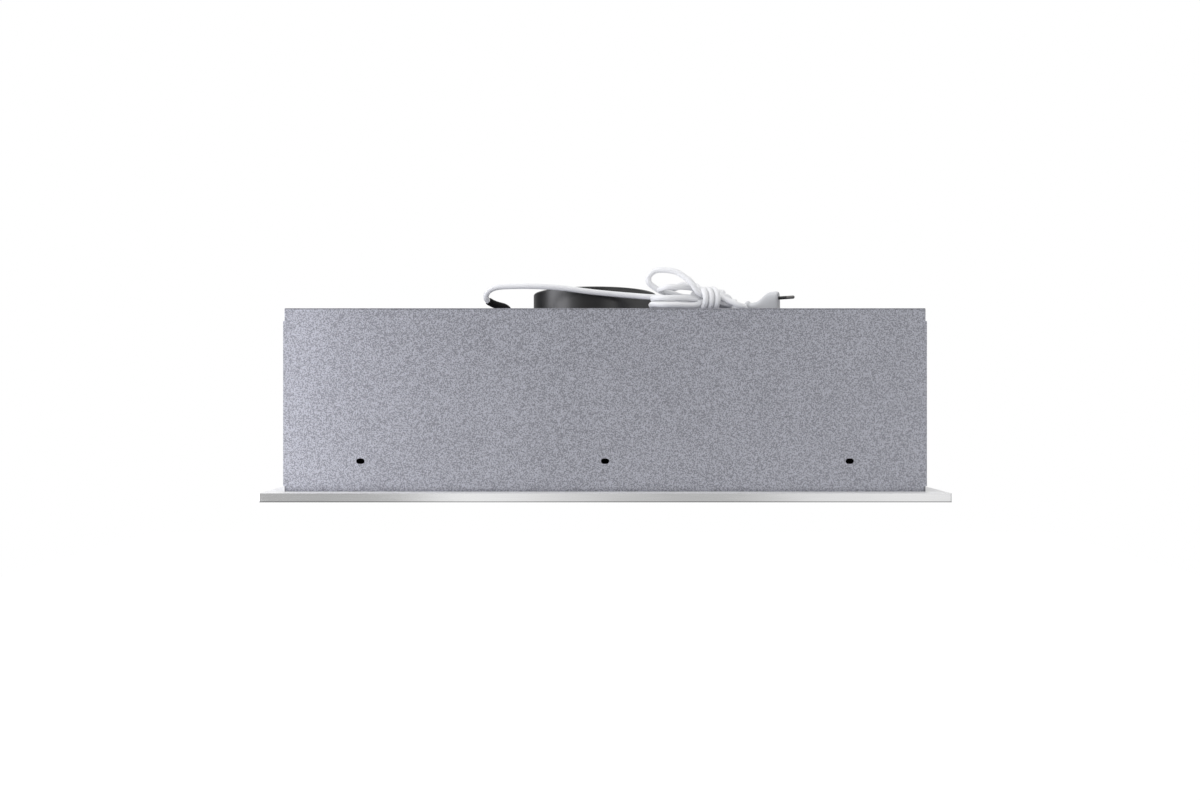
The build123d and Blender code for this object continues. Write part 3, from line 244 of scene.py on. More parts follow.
# %% [markdown]
# ## The studio
#
# Metal has no look of its own: it shows what stands around it. The flange in the picture is
# grey at its left end, bright left of the middle, darker right of the middle and bright again
# at the right, so the studio had soft panels in front with darker gaps between them. They could
# be built as cards, but cards would stand in the way of a view from behind. Here they are
# written into the world by direction, as two rings of light and shade. The flange and the
# casing show the low ring, and the roof and the flange's top show the one above it. Over both
# the studio is dim in front and dimmest at the right, with a light overhead, and the white
# backdrop is behind. The camera itself sees plain white, and so does glass.

# %% Hang the studio's panels round the hood
PANELS = [
    (-180, 1.1), (-165, 1.1), (-150, 0.4), (-110, 0.2), (-60, 0.6), (-40, 0.6), (-24, 0.55),
    (-15.4, 0.54), (-14.2, 0.64), (-12.8, 0.90), (-11.6, 1.09), (-9.6, 1.13), (-7, 1.03),
    (-3, 0.89), (0, 0.76), (3, 0.66), (6, 0.59), (9, 0.57), (10.6, 0.63), (13.2, 0.80),
    (15.4, 0.97), (17.5, 0.97), (26, 0.97), (38, 0.40), (60, 0.5), (105, 0.7), (140, 0.4),
    (165, 1.1), (180, 1.1),
]
UPPER_PANELS = [
    (-180, 0.7), (-165, 0.5), (-140, 0.2), (-110, 0.15), (-95, 0.8), (-80, 1.2), (-50, 1.3),
    (-36, 1.1), (-24, 0.5), (-10, 0.34), (10, 0.38), (24, 1.2), (42, 1.9), (66, 1.2),
    (100, 1.0), (125, 0.3), (150, 0.4), (165, 0.6), (180, 0.7),
]
BRIGHTEST = 2.0
studio = Finish("studio", world=True)
across, deep, high = studio.split(studio.node("ShaderNodeTexCoord", {}, out="Generated"))
share = across.math("ARCTAN2", 0 - deep) * (1 / (2 * pi)) + 0.5


def ring(panels):
    """Light by direction round the hood, from (degrees, level) pairs. The levels are greys."""
    stops = [((degrees + 180) / 360, level / BRIGHTEST) for degrees, level in panels]
    return studio.node("ShaderNodeValToRGB", {"stops": stops}, share) * BRIGHTEST


print("panels", len(PANELS) + len(UPPER_PANELS))

# %% [markdown]
# The rings and the rest of the studio are then faded into one another. A direction is a vector
# of length 1, so each fade says where along X, Y or Z it starts and where it is complete.

# %% Fade the studio together
UPPER_FADE = (-0.01, 0.05)
RINGS_FADE = (0.22, 0.5)
BACKDROP_FADE = (0.1, 0.8)
OVERHEAD_FADE = (0.5, 0.85)
ROOM_FADE = (-0.7, 0.5)
ROOM_LEFT = 0.85
ROOM_RIGHT = 0.10
BACKDROP_LEVEL = 1.1
OVERHEAD_LEVEL = 1.2
rings = fade(studio.spread(high, *UPPER_FADE), ring(PANELS), ring(UPPER_PANELS))
room = studio.spread(across, *ROOM_FADE, ROOM_LEFT, ROOM_RIGHT)
room = fade(studio.spread(deep, *BACKDROP_FADE), room, BACKDROP_LEVEL)
room = fade(studio.spread(high, *OVERHEAD_FADE), room, OVERHEAD_LEVEL)
level = fade(studio.spread(abs(high), *RINGS_FADE, 1, 0), room, rings)
panels = studio.node("ShaderNodeBackground", {}, level, 1.0)
white = studio.node("ShaderNodeBackground", {}, full(1.0), 1.0)
seen = studio.ray("Camera") + studio.ray("Transmission")
bpy.context.scene.world = studio.end(studio.node("ShaderNodeMixShader", {}, seen, panels, white))
print("made", bpy.context.scene.world.name)

# %% [markdown]
# The black collar has a tall soft streak left of its middle, and the casing is lightest at its
# left end. Both come from one large softbox standing close on the left, and a small one low
# beside it helps to light the casing. A sun lamp would light the whole front alike, so these
# are area lamps at their real distance.

# %% Stand the softboxes on the left
SOFTBOX_AIM = Vector((0, 0, 0.1))


def softbox(name, turn, lift, distance, width, height, radiance, colour=(1, 1, 1)):
    """An area lamp that faces the middle of the casing, `radiance` times as bright as white.

    It stands `turn` degrees right of the front and about `lift` degrees up.
    """
    lamp = add_object(name, bpy.data.lights.new(name, "AREA"))
    lamp.data.shape = "RECTANGLE"
    lamp.data.size = width
    lamp.data.size_y = height
    lamp.data.energy = radiance * pi * width * height
    lamp.data.color = colour
    lamp.visible_camera = False
    back = Vector((sin(radians(turn)), -cos(radians(turn)), sin(radians(lift)))).normalized()
    lamp.location = SOFTBOX_AIM + back * distance
    lamp.rotation_mode = "QUATERNION"
    lamp.rotation_quaternion = back.to_track_quat("Z", "Y")
    return lamp


softboxes = [
    softbox("softbox_left", turn=-70, lift=6, distance=1.1, width=0.86, height=0.8, radiance=3.2,
            colour=(0.98, 0.98, 1.04)),
    softbox("softbox_low", turn=-50, lift=-25, distance=0.9, width=0.3, height=0.3, radiance=1.8),
]
print("softboxes at", [in_mm(lamp.location) for lamp in softboxes])

# %% [markdown]
# A hood hangs in a cabinet and its filters swing down, so the floor lies well below it. The
# floor is pale, and glows a little to what looks at it, so that it meets the white background
# and still shows a soft shadow. Seen from below it lets the view through, because the underside
# of a hood is the side that people use.

# %% Lay the floor
FLOOR_Z = -0.28
FLOOR_HALF = 1.3
PAPER_GREY = 0.62
PAPER_GLOW = 1.12
GLOW_TO_ALL = 0.45
GLOW_TO_CAMERA = 0.4
floor_mesh = bpy.data.meshes.new("floor")
corners = [(-1, -1), (1, -1), (1, 1), (-1, 1)]
corners = [(x * FLOOR_HALF, y * FLOOR_HALF, FLOOR_Z) for x, y in corners]
floor_mesh.from_pydata(corners, [], [(0, 1, 2, 3)])
floor = add_object("floor", floor_mesh)
paper = Finish("floor_paper")
to_camera = paper.ray("Camera")
looked_at = to_camera + paper.ray("Glossy") + paper.ray("Transmission")
lit = paper.node("ShaderNodeBsdfDiffuse", {}, full(PAPER_GREY))
glow = paper.node("ShaderNodeEmission", {}, full(1.0), PAPER_GLOW)
glowing = to_camera * GLOW_TO_CAMERA + looked_at * GLOW_TO_ALL
top = paper.node("ShaderNodeMixShader", {}, glowing, lit, glow)
below = paper.node("ShaderNodeNewGeometry", {}, out="Backfacing") * to_camera
clear = paper.node("ShaderNodeBsdfTransparent", {})
floor_mesh.materials.append(paper.end(paper.node("ShaderNodeMixShader", {}, below, top, clear)))
print("floor at", FLOOR_Z)

# %% [markdown]
# ## The mains cord
#
# The cord leaves its sleeve at the left, folds back over the collar's front, is gathered in a
# hank on the roof, and ends in its plug. It is one round PVC cord, so it is one curve: the hank
# is part of it and not a lump of its own. The CAD gives the places that it passes and the way
# that it heads at each. A smooth curve is pulled by control points, so each place gets one
# control point behind it and one ahead of it, along its heading.

# %% Places along the hank
ROOF_Z = 198.0
CORD_R = 3.1
HANK_Y = -95.0
STRAND_STEP = 6.8
STRAND_ROW = 6.75
STRAND_LOW = 208.0
MIDDLE_COLUMN = 2.5
WAIST = (98.5, 121.5)
LOW_LOBE = (50.4, 20.0, (203.7, 206.0, 202.8))
MID_LOBE = (52.0, 17.0, (211.4, 212.6, 209.2))
TOP_LOBE = (58.8, 13.5, (223.6, 221.8, 224.8))
stops = []


def stop(x, across, z, heading):
    """One place on the hank, `across` millimetres behind its middle, and the heading there."""
    stops.append((Vector((x, HANK_Y + across, z)), Vector(heading).normalized()))


def strand(x, column, row, way):
    """A place on one of the strands that lie side by side in the hank's waist."""
    across = (column - MIDDLE_COLUMN) * STRAND_STEP
    stop(x, across, STRAND_LOW + row * STRAND_ROW, (way, 0, 0))


def left_lobe(tip, radius, levels):
    """A fold at the hank's left end, from front to back."""
    front_z, tip_z, back_z = levels
    stop(tip + radius, -radius, front_z, (-1, 0, 0))
    stop(tip, 0, tip_z, (0, 1, 0))
    stop(tip + radius, radius, back_z, (1, 0, 0))


def right_lobe(side, tip, across, half, levels):
    """A fold at the hank's right end, from back to front."""
    back_z, tip_z, front_z = levels
    stop(side, across + half, back_z, (1, 0, 0))
    stop(tip, across, tip_z, (0, -1, 0))
    stop(side, across - half, front_z, (-1, 0, 0))


# %% The first strands and lobes
LEAD_HEADING = Vector((0.95, -0.30, -0.11)).normalized()
hank_start = Vector((44.0, HANK_Y + 25.4, 218.4))
stops.append((hank_start + LEAD_HEADING * 2 * CORD_R, LEAD_HEADING))
strand(WAIST[0] - 4, 4, 1, 1)
strand(WAIST[1], 4, 1, 1)
right_lobe(130.0, 140.0, 0.4, 12.6, (214.4, 209.2, 205.6))
strand(WAIST[1], 1, 0, -1)
strand(106.0, 1, 0, -1)
stop(95.5, -14.0, 203.9, (-1, -0.35, -0.1))
left_lobe(*LOW_LOBE)
stop(85.0, 13.0, 202.6, (1, -0.3, 0.1))
strand(WAIST[0], 4, 0, 1)
strand(WAIST[1], 4, 0, 1)
right_lobe(129.0, 135.5, 3.4, 6.8, (206.5, 205.0, 206.5))
strand(WAIST[1], 2, 0, -1)
strand(107.0, 2, 0, -1)
stop(97.0, -8.8, 211.0, (-1, -0.3, 0.08))
left_lobe(*MID_LOBE)
strand(WAIST[0] - 8, 3, 0, 1)
strand(WAIST[0], 3, 0, 1)
strand(WAIST[1], 3, 0, 1)
right_lobe(128.4, 134.5, -0.1, 4.3, (209.1, 211.9, 214.6))
strand(WAIST[1], 2, 1, -1)
strand(107.0, 2, 1, -1)
stop(100.0, -4.2, 219.6, (-0.75, -0.1, 0.65))
stop(90.5, -7.5, 223.8, (-1, -0.3, 0.05))
left_lobe(*TOP_LOBE)
stop(86.0, 9.0, 229.3, (1, -0.25, 0.05))
stop(97.0, 3.0, 227.4, (0.8, -0.6, -0.2))
print("places so far", len(stops))

# %% [markdown]
# The cord's own last metre ties the hank: it goes round the waist three times, then runs back
# through it, stands up in a loose loop at the left and comes forward again to the plug.

# %% The wraps, the loose loop and the way out
WRAP_X = 97.8
WRAP_COUNT = 3
WRAP_STEP = 6.3
WRAP_FLAT = 9.15
WRAP_R = 10.25
WRAP_SLANT = 0.36
middle_z = STRAND_LOW + STRAND_ROW / 2
quarter = pi * WRAP_R / 2
around = 4 * WRAP_FLAT + 4 * quarter
lean = WRAP_STEP / around
for i in range(WRAP_COUNT):
    corners = [
        (WRAP_FLAT, -WRAP_FLAT, middle_z + WRAP_R, (lean, -1, 0)),
        (WRAP_FLAT + quarter, -WRAP_FLAT - WRAP_R, middle_z, (lean, 0, -1)),
        (WRAP_FLAT + 2 * quarter, -WRAP_FLAT, middle_z - WRAP_R, (lean, 1, 0)),
        (3 * WRAP_FLAT + 2 * quarter, WRAP_FLAT, middle_z - WRAP_R, (lean, 1, 0)),
        (3 * WRAP_FLAT + 3 * quarter, WRAP_FLAT + WRAP_R, middle_z, (lean, 0, 1)),
        (3 * WRAP_FLAT + 4 * quarter, WRAP_FLAT, middle_z + WRAP_R, (lean, -1, 0)),
    ]
    if i == WRAP_COUNT - 1:
        corners.pop()
    for run, side, z, (ahead, inward, up) in corners:
        x = WRAP_X + (i * around + run) * lean - WRAP_SLANT * side
        stop(x, side, z, (ahead - WRAP_SLANT * inward, inward, up))
stop(122.6, 14.5, 221.4, (0.8, -0.8, 0.1))
stop(128.4, 8.0, 220.6, (0, -1, -0.3))
strand(WAIST[1], 3, 1, -1)
strand(WAIST[0], 3, 1, -1)
stop(88.0, 3.0, 214.9, (-1, 0, 0.05))
stop(72.0, 1.0, 218.4, (-0.97, 0, 0.25))
stop(56.4, -1.0, 222.9, (-0.82, -0.02, 0.57))
stop(47.0, -2.5, 232.5, (-0.15, -0.1, 1))
stop(52.0, -5.0, 240.9, (0.85, -0.15, 0.5))
stop(64.5, -8.5, 242.4, (1, -0.2, -0.1))
stop(80.5, -12.5, 237.3, (0.78, -0.2, -0.58))
stop(92.6, -16.0, 226.4, (0.55, -0.08, -0.83))
stop(99.0, -15.0, 217.6, (0.75, 0.3, -0.6))
strand(109.0, 1, 1, 1)
stop(120.0, -11.0, 213.0, (0.93, -0.2, -0.22))
TAIL_HEADING = Vector((0.80, -0.38, -0.44)).normalized()
hank_end = Vector((129.4, HANK_Y - 17.0, 209.0))
stops.append((hank_end - TAIL_HEADING * 2 * CORD_R, TAIL_HEADING))
print("places along the hank", len(stops))

# %% Two control points between each place and the next
TINY = 1e-6


def between(start, end):
    """One point ahead of the start and one behind the end, at the reach that turns most evenly.

    Then the two points are twice the reach apart, so a * reach**2 + b * reach = gap**2.
    """
    (place, heading), (next_place, next_heading) = start, end
    gap = next_place - place
    square = gap.dot(gap)
    a = 2 * (1 - heading.dot(next_heading))
    b = 2 * gap.dot(heading + next_heading)
    reach = square / b if a < TINY else (sqrt(b * b + 4 * a * square) - b) / (2 * a)
    return [place + heading * reach, next_place - next_heading * reach]


hank_points = []
for start, end in zip(stops, stops[1:]):
    hank_points += between(start, end)
print("control points in the hank", len(hank_points))

# %% The lead before the hank and the tail after it
SLEEVE_END = Vector((-132.3, -50.8, 215.9))
SLEEVE_HEADING = Vector((-0.60, -0.70, 0.40)).normalized()
PLUG_ENTRY = Vector((172.893, 14.5, 215.65))
PLUG_TURN = radians(-30)
PLUG_HEADING = Vector((cos(PLUG_TURN), sin(PLUG_TURN), 0))
STRAIGHT = 5
LEAD_REACH = 22
TAIL_REACH = 11
LEAD_POINTS = [
    (-131.8, -59.5, 226), (-121.5, -62.5, 230.2), (-103, -65.5, 230.6), (-80, -68.8, 230.3),
    (-48, -69, 228.4), (-16, -67.6, 223.9),
]
TAIL_POINTS = [
    (147, -115.4, 201.4), (150.2, -101.5, 201.3), (150.5, -79, 201.3), (143, -51, 201.3),
    (124, -27, 201.6), (119, 2, 205.5), (131, 24, 217), (150, 27.3, 227), (163, 20.2, 217),
]
route = [SLEEVE_END, SLEEVE_END + SLEEVE_HEADING * STRAIGHT]
route += [Vector(point) for point in LEAD_POINTS]
route.append(hank_start - LEAD_HEADING * LEAD_REACH)
route += hank_points
route.append(hank_end + TAIL_HEADING * TAIL_REACH)
route += [Vector(point) for point in TAIL_POINTS]
route += [PLUG_ENTRY - PLUG_HEADING * STRAIGHT, PLUG_ENTRY]
print("control points in all", len(route))

# %% Draw the cord
CORD_STEPS = 8


def smooth_line(name, points, steps):
    """A curve that its control points pull, with `steps` pieces for each of them."""
    curve = bpy.data.curves.new(name, "CURVE")
    curve.dimensions = "3D"
    spline = curve.splines.new("NURBS")
    spline.points.add(len(points) - 1)
    for target, point in zip(spline.points, points):
        target.co = (*point, 1)
    spline.order_u = 3
    spline.use_endpoint_u = True
    spline.resolution_u = steps
    return curve


def cord_curve(name, points, radius):
    """A round cord on one smooth line. Each point scales the bevel, a circle of one metre."""
    curve = smooth_line(name, [point * MM for point in points], CORD_STEPS)
    for point in curve.splines[0].points:
        point.radius = radius * MM
    curve.bevel_depth = 1.0
    curve.bevel_resolution = 5
    curve.use_fill_caps = True
    return add_object(name, curve)


mains_cord = cord_curve("mains_cord", route, CORD_R)
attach(mains_cord, "casing")
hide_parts("mains_cord_lead", "mains_cord_hank", "mains_cord_tail")
print("cord drawn with", len(mains_cord.data.splines[0].points), "points")

# %% [markdown]
# ## Shapes swept and turned
#
# The sleeve and the plug are rounded along their length in a way that solids made of straight
# runs are not. Both are skins over a row of outlines, so one helper joins any such row. The
# outlines follow a centre line, and that line is read from a smooth curve with no thickness.

# %% Read a centre line, and lay a skin over outlines
def centre_line(points, steps):
    """The points that a smooth line passes, `steps` of them for each control point."""
    guide = bpy.data.objects.new("centre_line", smooth_line("centre_line", points, steps))
    mesh = bpy.data.meshes.new_from_object(guide)
    line = [vertex.co.copy() for vertex in mesh.vertices]
    bpy.data.objects.remove(guide)
    bpy.data.meshes.remove(mesh)
    return line


def turns(count):
    """Even angles once round."""
    return [2 * pi * i / count for i in range(count)]


def cover(shape, outlines):
    """Faces over a row of outlines in millimetres, which all have the same number of points."""
    rows = [[shape.verts.new(point * MM) for point in outline] for outline in outlines]
    for row, following in zip(rows, rows[1:]):
        for i in range(len(row)):
            k = (i + 1) % len(row)
            shape.faces.new((row[i], row[k], following[k], following[i]))
    shape.faces.new(reversed(rows[0]))
    shape.faces.new(rows[-1])


def piece_of(name, shape, crease=40):
    """A piece from a bmesh, smooth up to edges of `crease` degrees. With no crease it is flat."""
    mesh = bpy.data.meshes.new(name)
    shape.to_mesh(mesh)
    shape.free()
    if crease:
        mesh.shade_smooth()
        mesh.set_sharp_from_angle(angle=radians(crease))
    return add_object(name, mesh)


def skin(name, outlines, crease=40):
    """A closed piece over a row of outlines."""
    shape = bmesh.new()
    cover(shape, outlines)
    bmesh.ops.recalc_face_normals(shape, faces=shape.faces)
    return piece_of(name, shape, crease)


# %% [markdown]
# The sleeve guards the cord where it leaves the roof. It is soft black rubber, so it is thick
# at its root, thinner towards its mouth, and ends in a rounded lip.

# %% Shape the tapered sleeve
SLEEVE_ROOT = Vector((-110.4, -37.0, ROOF_Z + 2.4))
SLEEVE_BEND = Vector((-110.0, -38.2, ROOF_Z + 11.0))
SLEEVE_MOUTH_RUN = 8.5
SLEEVE_STEPS = 24
SLEEVE_AROUND = 32
SLEEVE_RADII = [
    (0.0, 5.4), (0.10, 5.3), (0.16, 4.8), (0.5, 4.5), (0.86, 4.3), (0.94, 4.4), (0.985, 4.2),
    (1.0, 3.9),
]
NOT_AHEAD = Vector((0.3, 1, 0.1))


def between_pairs(pairs, place):
    """The value at a place, on straight lines between (place, value) pairs."""
    for (start, low), (end, high) in zip(pairs, pairs[1:]):
        if place <= end:
            return low + (high - low) * (place - start) / (end - start)
    return pairs[-1][1]


def round_outline(centre, heading, radius):
    """A circle across a heading, which is never that of NOT_AHEAD."""
    side = heading.cross(NOT_AHEAD).normalized()
    other = heading.cross(side)
    around = turns(SLEEVE_AROUND)
    return [centre + (side * cos(turn) + other * sin(turn)) * radius for turn in around]


sleeve_bends = [SLEEVE_ROOT, SLEEVE_BEND, SLEEVE_END - SLEEVE_HEADING * SLEEVE_MOUTH_RUN]
sleeve_line = centre_line([*sleeve_bends, SLEEVE_END], SLEEVE_STEPS)
outlines = []
for i, centre in enumerate(sleeve_line):
    ahead = sleeve_line[min(i + 1, len(sleeve_line) - 1)]
    behind = sleeve_line[max(i - 1, 0)]
    radius = between_pairs(SLEEVE_RADII, i / (len(sleeve_line) - 1))
    outlines.append(round_outline(centre, (ahead - behind).normalized(), radius))
sleeve = skin("rubber_sleeve", outlines)
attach(sleeve, "casing")
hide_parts("cord_sleeve")
sleeve_length = sum((b - a).length for a, b in zip(sleeve_line, sleeve_line[1:]))
print("sleeve", round(sleeve_length, 1), "mm long")

# %% [markdown]
# The plug is moulded round the cord's end: a round bead and neck that flare into a flat body
# with soft edges. Each of its outlines is a superellipse, whose power goes from 2, an ellipse
# at the neck, towards 3, an ellipse with squarer corners, at the face that meets the socket.

# %% Shape the moulded plug
PLUG_FACE = Vector((208.4, -6.0, 215.65))
PLUG_BEAD = [
    (-41.0, 5.2), (-40.6, 6.8), (-39.8, 8.0), (-38.6, 8.4), (-37.6, 8.4), (-36.4, 7.9),
    (-35.6, 6.9), (-35.0, 6.2), (-33.0, 6.0),
]
PLUG_WIDTHS = [
    *PLUG_BEAD, (-31.0, 6.1), (-28.5, 6.5), (-26.0, 7.2), (-23.5, 8.4), (-21.0, 10.2),
    (-18.5, 12.5), (-16.0, 14.6), (-13.5, 16.1), (-11.0, 17.1), (-8.5, 17.55), (-4.5, 17.65),
    (-2.0, 17.6), (-0.8, 17.2), (-0.2, 16.5), (0.0, 15.6),
]
PLUG_DEPTHS = [
    *PLUG_BEAD, (-26.0, 6.0), (-11.0, 6.8), (-2.0, 6.85), (-0.8, 6.5), (-0.2, 5.9), (0.0, 5.1),
]
PLUG_POWERS = [(-41, 2.0), (-30, 2.0), (-14, 2.5), (-3, 2.7), (0, 2.9)]
PLUG_CREASE = 60
FINE_AROUND = 64
plug_turn = Matrix.Rotation(PLUG_TURN, 3, "Z")


def squarer(value, power):
    """A cosine or a sine as a superellipse has it."""
    return abs(value) ** (2 / power) * (1 if value > 0 else -1)


def plug_outline(along, width, depth, power):
    """A superellipse across the plug, `width` high and `depth` deep from its middle."""
    points = []
    for turn in turns(FINE_AROUND):
        across = squarer(cos(turn), power) * depth
        up = squarer(sin(turn), power) * width
        points.append(PLUG_FACE + plug_turn @ Vector((along, across, up)))
    return points


outlines = []
for along, width in PLUG_WIDTHS:
    depth = between_pairs(PLUG_DEPTHS, along)
    outlines.append(plug_outline(along, width, depth, between_pairs(PLUG_POWERS, along)))
plug = skin("moulded_plug", outlines, PLUG_CREASE)
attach(plug, "casing")
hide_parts("plug_body")
print("plug outlines", len(outlines))

# %% [markdown]

print("cord, sleeve and plug made")

# %% [markdown]
# ## Screws and nets
#
# Pan-head screws hold the collar and the casing. The solids have plain round heads; the real
# ones are rounded at the rim and have a cross for the driver. A cross could be cut out with a
# boolean, but here the head is a skin over outlines again: its last two outlines are a cross.

# %% Shape one screw
SCREW_ROWS = [
    (1.5, -4.0), (1.9, -3.5), (1.9, 0.0), (3.6, 0.0), (3.6, 0.9), (3.45, 1.5), (3.05, 1.95),
    (2.5, 2.2),
]
CROSS_ROWS = [(1.9, 0.45, 2.2), (1.5, 0.35, 1.0)]


def ring_outline(radius, z):
    """A level circle about the Z axis."""
    return [Vector((radius * cos(turn), radius * sin(turn), z)) for turn in turns(FINE_AROUND)]


def cross_outline(arm, half_width, z):
    """A level cross about the Z axis, seen as a distance from the middle in each direction."""
    points = []
    for turn in turns(FINE_AROUND):
        off_axis = abs((turn + pi / 4) % (pi / 2) - pi / 4)
        reach = min(arm / cos(off_axis), half_width / max(sin(off_axis), TINY))
        points.append(Vector((reach * cos(turn), reach * sin(turn), z)))
    return points


rows = [ring_outline(*row) for row in SCREW_ROWS] + [cross_outline(*row) for row in CROSS_ROWS]
print("outlines in a screw", len(rows))

# %% [markdown]
# The screws stand in two rows along the flange, at the foot of each side panel, and round the
# collar. No two crosses are turned alike, because nobody lines them up.

# %% Put the screws in
FOOT_X = (-285, -95, 95, 285)
FOOT_Y = 125
FOOT_SEAT = 9.8
SIDE_X = 321
SIDE_Y = 75
SIDE_SEAT = 10.5
COLLAR_AXIS = Vector((-11.3, 18.7, 201.0))
COLLAR_SCREW_R = 80.8
SCREW_TWIST = 0.7
BOTH = (-1, 1)


def copies(name, template, places):
    """One piece of copies of a template at places in millimetres, each turned a little more."""
    shape = bmesh.new()
    for i, place in enumerate(places):
        first = len(shape.verts)
        shape.from_mesh(template.data)
        shape.verts.ensure_lookup_table()
        added = shape.verts[first:]
        twist = Matrix.Rotation(SCREW_TWIST * i, 3, "Z")
        bmesh.ops.rotate(shape, verts=added, cent=(0, 0, 0), matrix=twist)
        bmesh.ops.translate(shape, verts=added, vec=Vector(place) * MM)
    bpy.data.objects.remove(template)
    return piece_of(name, shape)


screw_places = [(x, side * FOOT_Y, FOOT_SEAT) for side in BOTH for x in FOOT_X]
screw_places += [(side * SIDE_X, end * SIDE_Y, SIDE_SEAT) for side in BOTH for end in BOTH]
for i in range(4):
    turn = radians(45 + 90 * i)
    screw_places.append(COLLAR_AXIS + Vector((cos(turn), sin(turn), 0)) * COLLAR_SCREW_R)
screw_heads = copies("pan_head_screws", skin("one_screw", rows), screw_places)
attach(screw_heads, "casing")
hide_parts("casing_screws")
print("screws", len(screw_places))

# %% [markdown]
# Behind the slots of each grease filter lie layers of expanded aluminium: thin sheet, slit and
# pulled open into diamonds. From below the first layer shows in the slots. A net could be a
# see-through texture, but it would look flat at a slant, so each strand is a thin real ribbon
# that zigzags along X and meets its neighbour at every other corner.

# %% Weave the filters' nets
DIAMOND_LENGTH = 5.0
DIAMOND_HEIGHT = 2.6
RIBBON = [(-0.28, 0.0), (-0.16, -0.04), (0.28, 0.34), (0.16, 0.38)]
RIBBON_HALF = 0.16
NET_MARGIN = 5.0
NET_RISE = 0.34


def zigzag_net(name, low, high):
    """A net of zigzag ribbons over a rectangle, from its two corners in millimetres."""
    shape = bmesh.new()
    columns = int((high.x - low.x) / (DIAMOND_LENGTH / 2))
    lines = int((high.y - low.y) / DIAMOND_HEIGHT)
    for line in range(lines):
        middle = low.y + (line + 0.5) * DIAMOND_HEIGHT
        outlines = []
        for column in range(columns + 1):
            x = low.x + column * DIAMOND_LENGTH / 2
            bend = (DIAMOND_HEIGHT / 2 - RIBBON_HALF) * (1 if (line + column) % 2 else -1)
            outlines.append([Vector((x, middle + bend + dy, low.z + dz)) for dy, dz in RIBBON])
        cover(shape, outlines)
    bmesh.ops.recalc_face_normals(shape, faces=shape.faces)
    return piece_of(name, shape, crease=None)


nets = []
for side in ("left", "right"):
    low, high = (Vector(corner_shade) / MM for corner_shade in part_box("filter_" + side + "_mesh"))
    inset = Vector((NET_MARGIN, NET_MARGIN, 0))
    net = zigzag_net("filter_net_" + side, low + inset + Vector((0, 0, NET_RISE)), high - inset)
    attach(net, "filter_" + side)
    nets.append(net)
print("nets with", [len(net.data.polygons) for net in nets], "faces")

# %% [markdown]
# ## Finishes for metal
#
# Galvanised sheet is steel with a skin of zinc. In the picture it is a cool satin grey with a
# grain about a millimetre across, because the zinc froze in tiny crystals that each face a
# little differently. A picture of zinc could be wrapped on, but noise in three dimensions has
# no seams at the bends and keeps its real scale on every face. Shade is painted into the colour
# of the casing: it is painted darker along its foot, at the bend to its roof and at its lowest
# corners, where light hardly reaches.

# %% Galvanised sheet
NOISE_RANGE = (0.3, 0.7)
GRAIN_RANGE = (0.405, 0.595)
# Painted shade along the casing's foot, at its roof bend and at its lowest corners:
BEND_Z = 196.5 * MM
FOOT_Z = 9.0 * MM
FOOT_TOP_Z = FOOT_Z + 4.5 * MM
PAINTED_FOOT_LIGHT = 0.72
SIDE_Z = 14.7 * MM
CORNER_X = 328.4 * MM
FLAT_TOP = 0.97
PAINTED_EDGE_SHADE = 0.4
PAINTED_SHADE_GREY = 0.02


def galvanised(name, dark, light, grain):
    """Zinc with crystals of about `grain` metres, and painted shade at the casing's edges."""
    zinc = Finish(name)
    crystals = zinc.noise(grain, detail=0.0)
    fine = zinc.noise(grain * 0.55, detail=0.0)
    clouds = zinc.noise(70 * MM)
    lightness = crystals * 0.55 + fine * 0.4 + clouds * 0.05
    x, _, z = zinc.split(zinc.place())
    # Painted shade: the colour is darkened at the roof bend, along the foot and at the lowest
    # corners.
    bend_shade = (z > BEND_Z) * (zinc.facing()[2] < FLAT_TOP)
    foot_shade = zinc.spread(z, FOOT_Z, FOOT_TOP_Z, PAINTED_FOOT_LIGHT, 1)
    corner_shade = (abs(x) > CORNER_X) * (z < SIDE_Z)
    lit = foot_shade * (1 - bend_shade * PAINTED_EDGE_SHADE) * (1 - corner_shade * PAINTED_EDGE_SHADE)
    colour = zinc.mix(zinc.spread(lightness, *GRAIN_RANGE), dark, light)
    return zinc.surface(
        base_color=zinc.mix(1 - lit, colour, PAINTED_SHADE_GREY), metallic=0.9,
        roughness=zinc.spread(crystals, *NOISE_RANGE, 0.46, 0.58),
        normal=zinc.relief(fine, 0.02 * MM, 0.5),
    )


galvanised_steel = galvanised(
    "galvanised_steel", (0.268, 0.272, 0.303), (0.540, 0.547, 0.609), 1.2 * MM)
print("made", galvanised_steel.name)

# %% [markdown]
# The flange is brushed stainless steel. Brushing leaves fine scratches that run along the
# sheet, so its noise is stretched: forty millimetres along, a quarter of a millimetre across.
# The brush went along X on the front, the back and the underside, and along Y on the two ends.
# The flange's top is duller than its front and painted paler, a painted highlight, and its lower
# edge is a thin dark line of painted shade.

# %% Brushed stainless steel
LOOKS_THAT_WAY = 0.7
# A painted line of shade along the lower edge, and a painted highlight on the top:
LINE_Z = 1.1 * MM
PAINTED_LINE_SHADE = 0.6
PAINTED_LINE_GREY = 0.1
PAINTED_TOP_HIGHLIGHT = 0.89
TOP_ROUGH = 0.6
TOP_LESS_METAL = 0.75


